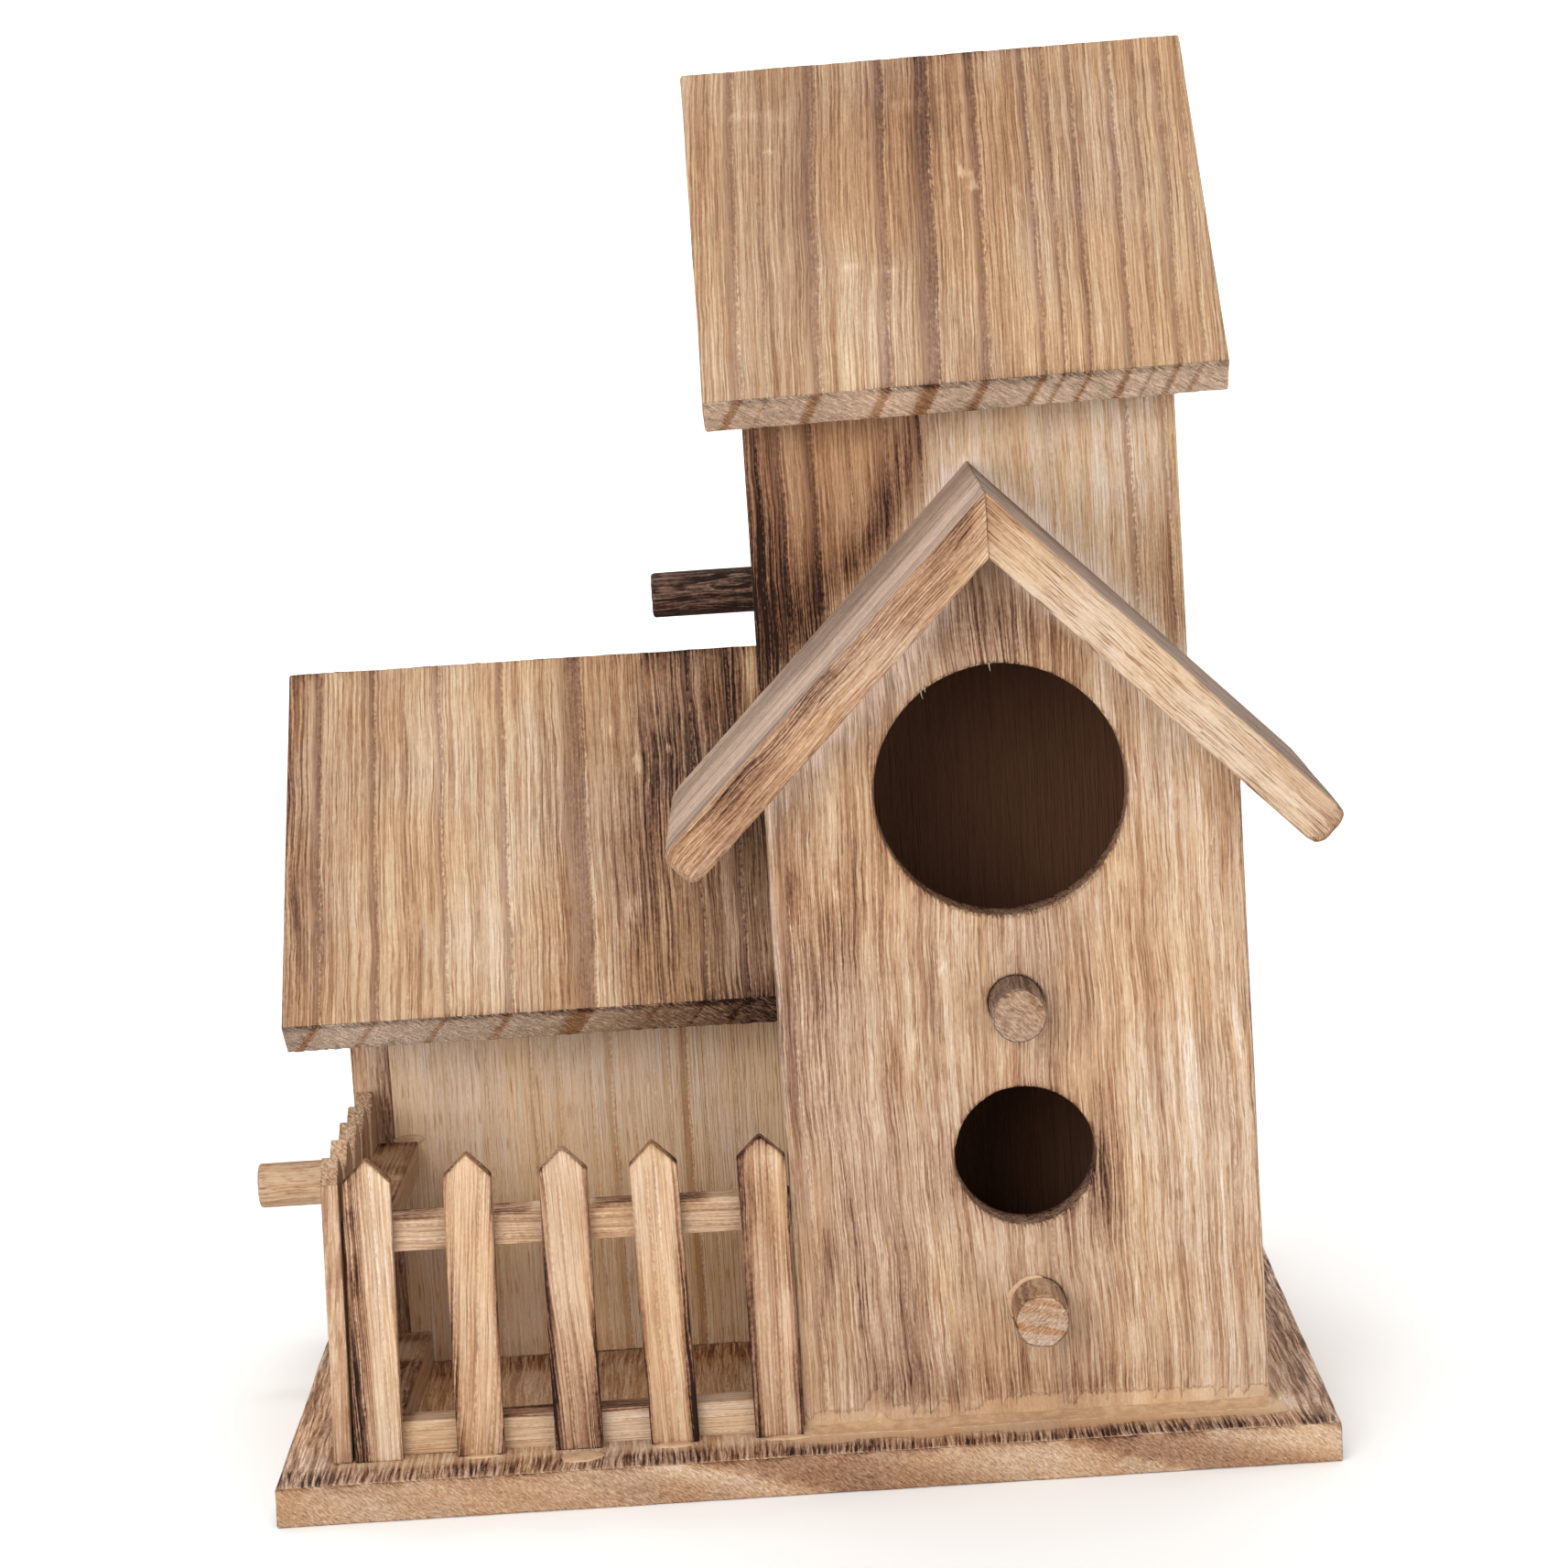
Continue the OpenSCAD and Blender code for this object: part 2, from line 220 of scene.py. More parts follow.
class Board:
    """A sawn board. u runs across the grain, v along it, w through its thickness, in millimetres."""

    def __init__(self, name, O, U, V, W, width, length, thick, v0=None, v1=None, seed=1, du=0.7, dv=2.5,
                 r=0.45, rough=1.0, ubreaks=(), place=None, ends=0.5, eave=0.0, tight=False):
        self.name, self.seed = name, seed
        self.O, self.U, self.V, self.W = (np.array(x, float) for x in (O, U, V, W))
        self.width, self.length, self.thick = width, length, thick
        self.v0 = v0 or (lambda u, w: 0 * u)
        self.v1 = v1 or (lambda u, w: 0 * u + length)
        self.place = place
        us = rows(width, du, extra=ubreaks)
        vs = rows(length, dv)
        ws = rows(thick, 1.2, edge=(0.0, 0.14, 0.32, 0.6))
        p, quads = lattice(us, vs, ws)
        size = np.array([width, length, thick])
        rr = np.minimum(r * (0.75 + 0.5 * vnoise(p[:, 0] * 0.3, p[:, 1] * 0.15, p[:, 2] * 0.3, seed + 9)), size.min() * 0.3)
        if tight:
            rr = np.where(p[:, 1] < 1.4, 0.10, rr)
        if eave:
            rr = rr + (eave - r) * sm(p[:, 1], length - eave * 1.6, length - eave * 0.6)
            rr = np.minimum(rr, thick * 0.45)
        q = np.clip(p, rr[:, None], size - rr[:, None])
        d = p - q
        ln = np.linalg.norm(d, axis=1)
        n = d / np.maximum(ln, 1e-9)[:, None]
        u, v, w = (q + n * rr[:, None]).T
        a0, a1 = self.v0(u, w), self.v1(u, w)
        vv = a0 + v / length * (a1 - a0)
        # the grain stands up in fine ridges; the whole face is a little uneven; sawn ends are ragged
        ridge = (vnoise(u * 1.35, vv * 0.03, w * 1.0, seed) - 0.5) * 0.10
        ridge += (vnoise(u * 2.6, vv * 0.09, w * 2.0, seed + 1) - 0.5) * 0.06
        swell = (vnoise(u * 0.11, vv * 0.05, w * 0.2, seed + 2) - 0.5) * 0.22
        end = np.abs(n[:, 1])
        ragged = (vnoise(u * 1.1, vv * 1.1, w * 1.1, seed + 3) - 0.62) * 0.34
        disp = rough * ((ridge + swell) * (1 - end) + ends * ragged * end)
        self.disp_limit = 0.3
        P = self.at(u, vv, w) + self.world(n) * disp[:, None]
        if np.linalg.det(np.stack([self.U, self.V, self.W])) < 0:
            quads = quads[:, ::-1]
        self.me = new_mesh(name, P * MM, quads)
        self.ob = bpy.data.objects.new("piece_" + name, self.me)
        bpy.context.scene.collection.objects.link(self.ob)
        BOARDS[name] = self

    def at(self, u, v, w):
        if self.place:
            return self.place(u, v, w)
        return self.O + np.outer(u, self.U) + np.outer(v, self.V) + np.outer(w, self.W)

    def world(self, n):
        return n @ np.stack([self.U, self.V, self.W])

    def local(self, P):
        return (P - self.O) @ np.stack([self.U, self.V, self.W]).T

    def cut(self, cutters):
        for c in cutters:
            mod = self.ob.modifiers.new("cut", "BOOLEAN")
            mod.object, mod.operation, mod.solver = c, "DIFFERENCE", "EXACT"
        dg = bpy.context.evaluated_depsgraph_get()
        me = bpy.data.meshes.new_from_object(self.ob.evaluated_get(dg))
        self.ob.modifiers.clear()
        old, self.ob.data, self.me = self.me, me, me
        bpy.data.meshes.remove(old)
        for c in cutters:
            bpy.data.objects.remove(c)
        me.polygons.foreach_set("use_smooth", np.ones(len(me.polygons), bool))


def lathe(name, start, end, profile, seg=96, wobble=0.0, seed=0, caps=True):
    """A turned solid about the line from start to end; profile is a list of (distance along, radius) in millimetres."""
    start, end = np.array(start, float), np.array(end, float)
    axis = (end - start) / np.linalg.norm(end - start)
    side = np.cross(axis, [0, 0, 1.0])
    side /= np.linalg.norm(side)
    other = np.cross(axis, side)
    th = np.arange(seg) * 2 * math.pi / seg
    verts, quads = [], []
    for s, rad in profile:
        rr = rad * np.ones(seg)
        if wobble:
            rr = rr + wobble * (vnoise(np.cos(th) * 3 + 9, np.sin(th) * 3 + 9, s * 0.15, seed) - 0.5) * min(1, rad)
            rr = rr + 0.35 * wobble * (vnoise(np.cos(th) * 14 + 40, np.sin(th) * 14 + 40, s * 0.1, seed + 1) - 0.5) * min(1, rad)
        verts.append(start + axis * s + np.outer(rr * np.cos(th), side) + np.outer(rr * np.sin(th), other))
    k = len(profile)
    for i in range(k - 1):
        for j in range(seg):
            a, b = i * seg + j, i * seg + (j + 1) % seg
            quads.append((a, a + seg, b + seg, b))
    verts = np.concatenate(verts)
    me = bpy.data.meshes.new(name)
    faces = [tuple(q) for q in quads] + [tuple(range(seg)), tuple(reversed(range((k - 1) * seg, k * seg)))]
    me.from_pydata([tuple(v) for v in verts * MM], [], faces)
    me.polygons.foreach_set("use_smooth", np.ones(len(me.polygons), bool))
    outward(me)
    ob = bpy.data.objects.new("piece_" + name, me)
    bpy.context.scene.collection.objects.link(ob)
    return ob


def hole_cutter(name, start, end, radius, flare, depth, wobble=0.12, seed=5, seg=112):
    """Cutter for a drilled hole: slightly ragged, with its front rim eased."""
    prof = [(0, radius + flare * 1.9), (1.0, radius + flare * 1.35), (1.0 + flare * 0.5, radius + flare * 0.45),
            (1.0 + flare * 1.1, radius + flare * 0.1), (1.0 + flare * 2, radius)]
    s = prof[-1][0]
    while s < depth:
        s += 0.9
        prof.append((s, radius))
    return lathe(name, start, end, prof, seg=seg, wobble=wobble, seed=seed)


# ------------------------------------------------------------------ sizes, as in the CAD
BASE_T = 7.2
FRONT = -76.0
HOUSE_X, HOUSE_R = -0.4, 84.2
HOUSE_Y, TOWER_Y = FRONT + 15.8, FRONT + 68.0
WALL = 7.4
RIDGE_X, RIDGE_Z, GABLE_T, GABLE_LEN = 41.2, 176.5, 8.1, 85.2
ROOF_T = 8.5
TOWER_R = HOUSE_X + 81.1
TOWER_BACK = TOWER_Y + 68.0
TOWER_RIDGE_Y = 26.4
TW_RUN, TW_RISE = 55.4, 59.9
TW_TOP = 192.4 + TW_RISE
TW_MID = np.array([40.5, 0, 192.4 + TW_RISE / 2])
AN_RUN, AN_RISE = 58.3, 58.8
AN_RIDGE_Y, AN_TOP = 24.9, 140.7
ANNEX_X, ANNEX_Y, ANNEX_BACK = -83.7, 0.0, 50.0
SQ = math.sqrt(0.5)


def gable_under(x):
    return RIDGE_Z - GABLE_T * math.sqrt(2) - np.abs(x - RIDGE_X)


def tower_under(x, y):
    c = math.cos(math.radians(1))
    lean = math.tan(math.radians(1))
    l = math.hypot(TW_RUN, TW_RISE)
    zt = TW_TOP - ROOF_T * l / TW_RUN - np.abs(y - TOWER_RIDGE_Y) * TW_RISE / TW_RUN
    return TW_MID[2] + (zt - TW_MID[2]) / c + (x - TW_MID[0]) * lean


def annex_under(y):
    l = math.hypot(AN_RUN, AN_RISE)
    return AN_TOP - ROOF_T * l / AN_RUN - np.abs(y - AN_RIDGE_Y) * AN_RISE / AN_RUN


X, Y, Z = np.eye(3)

# ------------------------------------------------------------------ boards
Board("base_board", (-95, FRONT, 0), X, Y, Z, 190, 152, BASE_T, seed=11, du=0.8, dv=2.0, r=0.55, rough=1.1, ends=0.6)

fw = Board("front_house_front_wall", (HOUSE_X, HOUSE_Y + WALL, BASE_T), X, Z, -Y, 84.6, 140, WALL, seed=21, du=0.62, dv=1.8,
           v1=lambda u, w: gable_under(u + HOUSE_X) - BASE_T, ubreaks=(RIDGE_X - HOUSE_X,), r=0.5)
for nm, x0, sd in (("front_house_left_wall", HOUSE_X, 31), ("front_house_right_wall", HOUSE_R - WALL, 41)):
    left = x0 == HOUSE_X
    Board(nm, (x0 + WALL if left else x0, HOUSE_Y + WALL, BASE_T), Y, Z, -X if left else X, TOWER_Y - HOUSE_Y - WALL, 115, WALL,
          v1=(lambda u, w: gable_under(HOUSE_X + WALL - w) - BASE_T) if left else (lambda u, w: gable_under(HOUSE_R - WALL + w) - BASE_T),
          seed=sd, du=0.9, dv=3.0)
for nm, s, sd in (("gable_roof_left_board", -1, 51), ("gable_roof_right_board", 1, 61)):
    V, W = np.array([s * SQ, 0, -SQ]), np.array([s * SQ, 0, SQ])
    Board(nm, np.array([RIDGE_X, FRONT - 0.8, RIDGE_Z]) - GABLE_T * W, Y, V, W, 68.8, GABLE_LEN, GABLE_T,
          v0=lambda u, w: GABLE_T - w, seed=sd, du=0.7, dv=2.2, r=0.6, eave=2.4, tight=True)

Board("tower_front_wall", (HOUSE_X, TOWER_Y + WALL, BASE_T), X, Z, -Y, 81.1, 200, WALL,
      v1=lambda u, w: tower_under(u + HOUSE_X, TOWER_Y + WALL - w) - BASE_T, seed=71, du=0.7, dv=2.2)
Board("tower_back_wall", (HOUSE_X, TOWER_BACK - WALL, BASE_T), X, Z, Y, 81.1, 200, WALL,
      v1=lambda u, w: tower_under(u + HOUSE_X, TOWER_BACK - WALL + w) - BASE_T, seed=81, du=0.9, dv=3.0)
tl = Board("tower_left_wall", (HOUSE_X + WALL, TOWER_Y + WALL, BASE_T), Y, Z, -X, 53.2, 220, WALL,
           v1=lambda u, w: tower_under(HOUSE_X + WALL - w, TOWER_Y + WALL + u) - BASE_T, seed=91, du=0.8, dv=2.4,
           ubreaks=(TOWER_RIDGE_Y - TOWER_Y - WALL,))
Board("tower_right_wall", (TOWER_R - WALL, TOWER_Y + WALL, BASE_T), Y, Z, X, 53.2, 220, WALL,
      v1=lambda u, w: tower_under(TOWER_R - WALL + w, TOWER_Y + WALL + u) - BASE_T, seed=101, du=0.9, dv=3.0,
      ubreaks=(TOWER_RIDGE_Y - TOWER_Y - WALL,))
TIP = rot_y(-1.0)
for nm, s, sd in (("tower_roof_front_board", -1, 111), ("tower_roof_back_board", 1, 121)):
    l = math.hypot(TW_RUN, TW_RISE)
    V, W = np.array([0, s * TW_RUN, -TW_RISE]) / l, np.array([0, s * TW_RISE, TW_RUN]) / l
    O = np.array([-7.6, TOWER_RIDGE_Y, TW_TOP]) - ROOF_T * W
    Board(nm, TIP @ (O - TW_MID) + TW_MID, TIP @ X, TIP @ V, TIP @ W, 96.2, l, ROOF_T,
          v0=lambda u, w: (ROOF_T - w) * TW_RISE / TW_RUN, seed=sd, du=0.62 if s < 0 else 0.9, dv=1.6 if s < 0 else 3.0,
          r=0.5, ends=1.0)
for nm, s, sd in (("annex_roof_front_board", -1, 131), ("annex_roof_back_board", 1, 141)):
    l = math.hypot(AN_RUN, AN_RISE)
    V, W = np.array([0, s * AN_RUN, -AN_RISE]) / l, np.array([0, s * AN_RISE, AN_RUN]) / l
    Board(nm, np.array([-92.3, AN_RIDGE_Y, AN_TOP]) - ROOF_T * W, X, V, W, 91.9, l, ROOF_T,
          v0=lambda u, w: (ROOF_T - w) * AN_RISE / AN_RUN, seed=sd, du=0.62 if s < 0 else 0.9, dv=1.6 if s < 0 else 3.0,
          r=0.5, ends=1.0)
al = Board("annex_left_wall", (ANNEX_X + WALL, ANNEX_Y, BASE_T), Y, Z, -X, 50, 110, WALL,
           v1=lambda u, w: annex_under(ANNEX_Y + u) - BASE_T, seed=151, du=0.7, dv=2.4, ubreaks=(AN_RIDGE_Y,))
Board("annex_front_panel", (ANNEX_X + WALL, ANNEX_Y + WALL, BASE_T), X, Z, -Y, HOUSE_X - ANNEX_X - WALL, 95, WALL,
      v1=lambda u, w: annex_under(ANNEX_Y + WALL - w) - BASE_T, seed=161, du=0.7, dv=2.4, r=0.35, rough=0.6)
Board("annex_back_panel", (ANNEX_X + WALL, ANNEX_BACK - WALL, BASE_T), X, Z, Y, HOUSE_X - ANNEX_X - WALL, 95, WALL,
      v1=lambda u, w: annex_under(ANNEX_BACK - WALL + w) - BASE_T, seed=171, du=0.9, dv=3.0)

# pickets and rails
PW, PT, PH, PP = 8.6, 3.2, 56.0, 4.3
PICKET_X = (-77.4, -58.9, -41.2, -23.8, -4.9)
LEAN = (1.8, 1.25, 0.7, -0.65, -0.2)
PICKET_Y = FRONT + 12.6
YARD_Y = PICKET_Y + PT + 6.0
for i, (x, a) in enumerate(zip(PICKET_X, LEAN)):
    R = rot_y(a)
    U, V = R @ X, R @ Z
    blunt = (0.5, 0.35, 0.7, 0.3, 1.0)[i]
    Board("front_picket_%d" % (i + 1), np.array([x, PICKET_Y + PT, BASE_T]) - U * PW / 2, U, V, -Y, PW, PH, PT,
          v0=lambda u, w, a=a: (u - PW / 2) * math.tan(math.radians(a)),
          v1=lambda u, w, k=blunt: PH - PP * np.sqrt((np.abs(u - PW / 2) / (PW / 2)) ** 2 + (k * 0.12) ** 2) / math.sqrt(1 + (k * 0.12) ** 2),
          seed=200 + i * 10, du=0.45, dv=1.1, ubreaks=(PW / 2,), r=0.32, rough=0.9)
SIDE_X = -82.1
RS = rot_z(-1.4) @ rot_y(1.6)
for i, at in enumerate((17.2, 31.2, 45.0, 58.0, 71.2)):
    U, V, W = RS @ Y, RS @ Z, -(RS @ X)
    O = np.array([SIDE_X, YARD_Y, BASE_T]) + RS @ np.array([0, FRONT + at - YARD_Y, 0])
    Board("side_picket_%d" % (i + 1), O - U * PW / 2, U, V, W, PW, PH, PT,
          v0=lambda u, w: -w * math.tan(math.radians(1.6)),
          v1=lambda u, w: PH - PP * np.sqrt((np.abs(u - PW / 2) / (PW / 2)) ** 2 + 0.005) / math.sqrt(1.005),
          seed=300 + i * 10, du=0.55, dv=1.6, ubreaks=(PW / 2,), r=0.32, rough=0.9)


def side_plane_x(y, z):
    t, l = math.radians(1.4), math.radians(1.6)
    return SIDE_X + (math.cos(l) * math.sin(t) * (y - YARD_Y) + math.sin(l) * (z - BASE_T)) / (math.cos(l) * math.cos(t))


for nm, z0, sd in (("front_rail_top", 45.1, 401), ("front_rail_bottom", BASE_T, 411)):
    x0 = SIDE_X
    Board(nm, (x0, YARD_Y, z0), Z, X, -Y, 6.3, HOUSE_X - x0, 6.0,
          v0=lambda u, w, z0=z0: side_plane_x(YARD_Y - w, z0 + u) - SIDE_X, seed=sd, du=0.5, dv=1.3, r=0.35)
for nm, z0, sd in (("side_rail_top", 45.1, 421), ("side_rail_bottom", BASE_T, 431)):
    def where(u, v, w, z0=z0):
        y, z = YARD_Y + v, z0 + u
        inner = SIDE_X + 1 + 7.9 + 1.2 * (y - YARD_Y) / (ANNEX_Y - YARD_Y)
        outer = side_plane_x(y, z)
        return np.stack([inner + (outer - inner) * w / 8.2, y, z], 1)
    Board(nm, (SIDE_X + 8.9, YARD_Y, z0), Z, Y, -X, 6.3, ANNEX_Y - YARD_Y, 8.2, seed=sd, du=0.55, dv=1.6, r=0.35, place=where)

# holes
fw.cut([hole_cutter("c1", (41.7, HOUSE_Y - 1, 122), (41.7, 0, 122), 22.5, 0.45, 9.5, 0.16, 5, 176),
        hole_cutter("c2", (42.4, HOUSE_Y - 1, 55.5), (42.4, 0, 55.5), 12.65, 0.35, 9.5, 0.14, 6, 128),
        hole_cutter("c3", (42.2, HOUSE_Y - 1, 83.5), (42.2, 0, 83.5), 5.0, 0.3, 9.5, 0.05, 7, 72),
        hole_cutter("c4", (43.2, HOUSE_Y - 1, 27.9), (43.2, 0, 27.9), 5.0, 0.3, 9.5, 0.05, 8, 72)])
tl.cut([hole_cutter("c5", (HOUSE_X - 1, 26.4, 179.4), (60, 26.4, 179.4), 12.65, 0.35, 9.5, 0.12, 5, 112),
        hole_cutter("c6", (HOUSE_X - 1, 26.4, 151.4), (60, 26.4, 151.4), 4.5, 0.3, 9.5, 0.05, 7, 64)])
al.cut([hole_cutter("c7", (ANNEX_X - 1, 24.9, 66.6), (0, 24.9, 66.6), 12.65, 0.35, 9.5, 0.12, 5, 112),
        hole_cutter("c8", (ANNEX_X - 1, 24.9, 38.6), (0, 24.9, 38.6), 4.5, 0.3, 9.5, 0.05, 7, 64)])


# ------------------------------------------------------------------ dowels
class Dowel:
    def __init__(self, name, start, end, radius, seed):
        self.name, self.seed, self.radius = name, seed, radius
        start, end = np.array(start, float), np.array(end, float)
        self.O, self.length = start, float(np.linalg.norm(end - start))
        self.V = (end - start) / self.length
        side = np.cross(self.V, [0, 0, 1.0])
        self.U = side / np.linalg.norm(side)
        self.W = np.cross(self.U, self.V)
        seg = 88
        prof = [(0.0, 0.001)] + [(0.0, radius * k) for k in (0.12, 0.24, 0.36, 0.48, 0.6, 0.7, 0.8, 0.88)]
        c = 0.5
        prof += [(0.03, radius - c), (0.10, radius - c * 0.62), (0.26, radius - c * 0.24), (0.5, radius - 0.04), (0.8, radius)]
        s = 0.8
        while s < self.length - 0.7:
            s += 0.7
            prof.append((s, radius))
        prof += [(self.length, radius), (self.length, radius * 0.5), (self.length, 0.001)]
        th = np.arange(seg) * 2 * math.pi / seg
        verts = []
        for s, rad in prof:
            ca, sa = np.cos(th), np.sin(th)
            rr = rad + (vnoise(ca * 6 + 20, sa * 6 + 20, s * 0.06, seed) - 0.5) * 0.16 * (rad / radius)
            rr -= (vnoise(ca * 15 + 20, sa * 15 + 20, s * 0.16, seed + 1) > 0.74) * 0.05 * (rad > 0.9 * radius)
            rr = np.minimum(rr, radius)
            ss = s + ((vnoise(rad * ca * 1.3 + 50, rad * sa * 1.3 + 50, 0.5, seed + 2) - 0.5) * 0.16 if s < 0.2 else 0)
            verts.append(self.O + np.outer(ss * np.ones(seg), self.V) + np.outer(rr * ca, self.U) + np.outer(rr * sa, self.W))
        k = len(prof)
        idx = np.arange(k * seg).reshape(k, seg)
        nxt = np.roll(idx, -1, 1)
        quads = np.stack([idx[:-1], idx[1:], nxt[1:], nxt[:-1]], -1).reshape(-1, 4)
        self.me = new_mesh(name, np.concatenate(verts) * MM, quads)
        outward(self.me)
        self.ob = bpy.data.objects.new("piece_" + name, self.me)
        bpy.context.scene.collection.objects.link(self.ob)
        BOARDS[name] = self

    def local(self, P):
        return (P - self.O) @ np.stack([self.U, self.V, self.W]).T


Dowel("upper_front_perch", (42.2, HOUSE_Y - 11.9, 83.5), (42.2, HOUSE_Y + WALL, 83.5), 4.9, 501)
Dowel("lower_front_perch", (43.2, HOUSE_Y - 11.9, 27.9), (43.2, HOUSE_Y + WALL, 27.9), 4.9, 511)
Dowel("tower_perch", (HOUSE_X - 19.9, TOWER_RIDGE_Y, 151.4), (HOUSE_X + WALL, TOWER_RIDGE_Y, 151.4), 4.4, 521)
Dowel("annex_perch", (ANNEX_X - 22.6, AN_RIDGE_Y, 38.6), (ANNEX_X + WALL, AN_RIDGE_Y, 38.6), 4.4, 531)


# ------------------------------------------------------------------ shading
def lin(rgb):
    out = []
    for v in rgb:
        v = v / 255.0
        out.append(v / 12.92 if v <= 0.04045 else ((v + 0.055) / 1.055) ** 2.4)
    return tuple(out) + (1.0,)


# torched light wood, from char to bare earlywood, by how light it is
TONES = [(30, (44, 29, 23)), (50, (60, 41, 31)), (70, (90, 66, 53)), (90, (116, 85, 66)), (110, (138, 104, 80)), (130, (158, 124, 97)),
         (150, (176, 144, 114)), (170, (193, 163, 133)), (190, (209, 185, 154)), (210, (225, 204, 177)), (232, (240, 232, 221))]


class Nodes:
    def __init__(self, name):
        self.mat = bpy.data.materials.new(name)
        self.mat.use_nodes = True
        self.t = self.mat.node_tree
        self.bsdf = self.t.nodes["Principled BSDF"]

    def put(self, socket, value):
        if isinstance(value, bpy.types.NodeSocket):
            self.t.links.new(value, socket)
        elif value is not None:
            socket.default_value = value

    def attr(self, name, vector=False):
        n = self.t.nodes.new("ShaderNodeAttribute")
        n.attribute_name = name
        return n.outputs["Vector"] if vector else n.outputs["Fac"]

    def math(self, op, a, b=None, c=None, clamp=False):
        n = self.t.nodes.new("ShaderNodeMath")
        n.operation, n.use_clamp = op, clamp
        self.put(n.inputs[0], a)
        self.put(n.inputs[1], b)
        if c is not None:
            self.put(n.inputs[2], c)
        return n.outputs[0]

    def add(self, *terms):
        out = terms[0]
        for t in terms[1:]:
            out = self.math("ADD", out, t)
        return out

    def mul(self, a, b):
        return self.math("MULTIPLY", a, b)

    def mad(self, a, b, c):
        return self.math("MULTIPLY_ADD", a, b, c)

    def split(self, v):
        n = self.t.nodes.new("ShaderNodeSeparateXYZ")
        self.put(n.inputs[0], v)
        return n.outputs

    def join(self, x, y, z):
        n = self.t.nodes.new("ShaderNodeCombineXYZ")
        for i, v in enumerate((x, y, z)):
            self.put(n.inputs[i], v)
        return n.outputs[0]

    def noise(self, vec, scale=1.0, detail=2.0, rough=0.5, dist=0.0):
        n = self.t.nodes.new("ShaderNodeTexNoise")
        n.noise_dimensions = "3D"
        self.put(n.inputs["Vector"], vec)
        n.inputs["Scale"].default_value = scale
        n.inputs["Detail"].default_value = detail
        n.inputs["Roughness"].default_value = rough
        n.inputs["Distortion"].default_value = dist
        return n.outputs["Fac"]

    def ramp(self, fac, stops, interp="LINEAR"):
        n = self.t.nodes.new("ShaderNodeValToRGB")
        e = n.color_ramp.elements
        n.color_ramp.interpolation = interp
        while len(e) > 1:
            e.remove(e[-1])
        e[0].position = stops[0][0]
        e[0].color = stops[0][1]
        for p, c in stops[1:]:
            s = e.new(p)
            s.color = c
        self.put(n.inputs["Fac"], fac)
        return n.outputs["Color"]

    def levels(self, x, lo, hi):
        n = self.t.nodes.new("ShaderNodeMapRange")
        n.interpolation_type = "SMOOTHSTEP"
        self.put(n.inputs["Value"], x)
        n.inputs["From Min"].default_value, n.inputs["From Max"].default_value = lo, hi
        return n.outputs["Result"]

    def mix(self, fac, a, b, mode="MIX"):
        n = self.t.nodes.new("ShaderNodeMix")
        n.data_type, n.blend_type = "RGBA", mode
        self.put(n.inputs["Factor"], fac)
        self.put(n.inputs["A"], a) if False else self.put(n.inputs[6], a)
        self.put(n.inputs[7], b)
        return n.outputs[2]


def grey(v):
    return (v, v, v, 1)


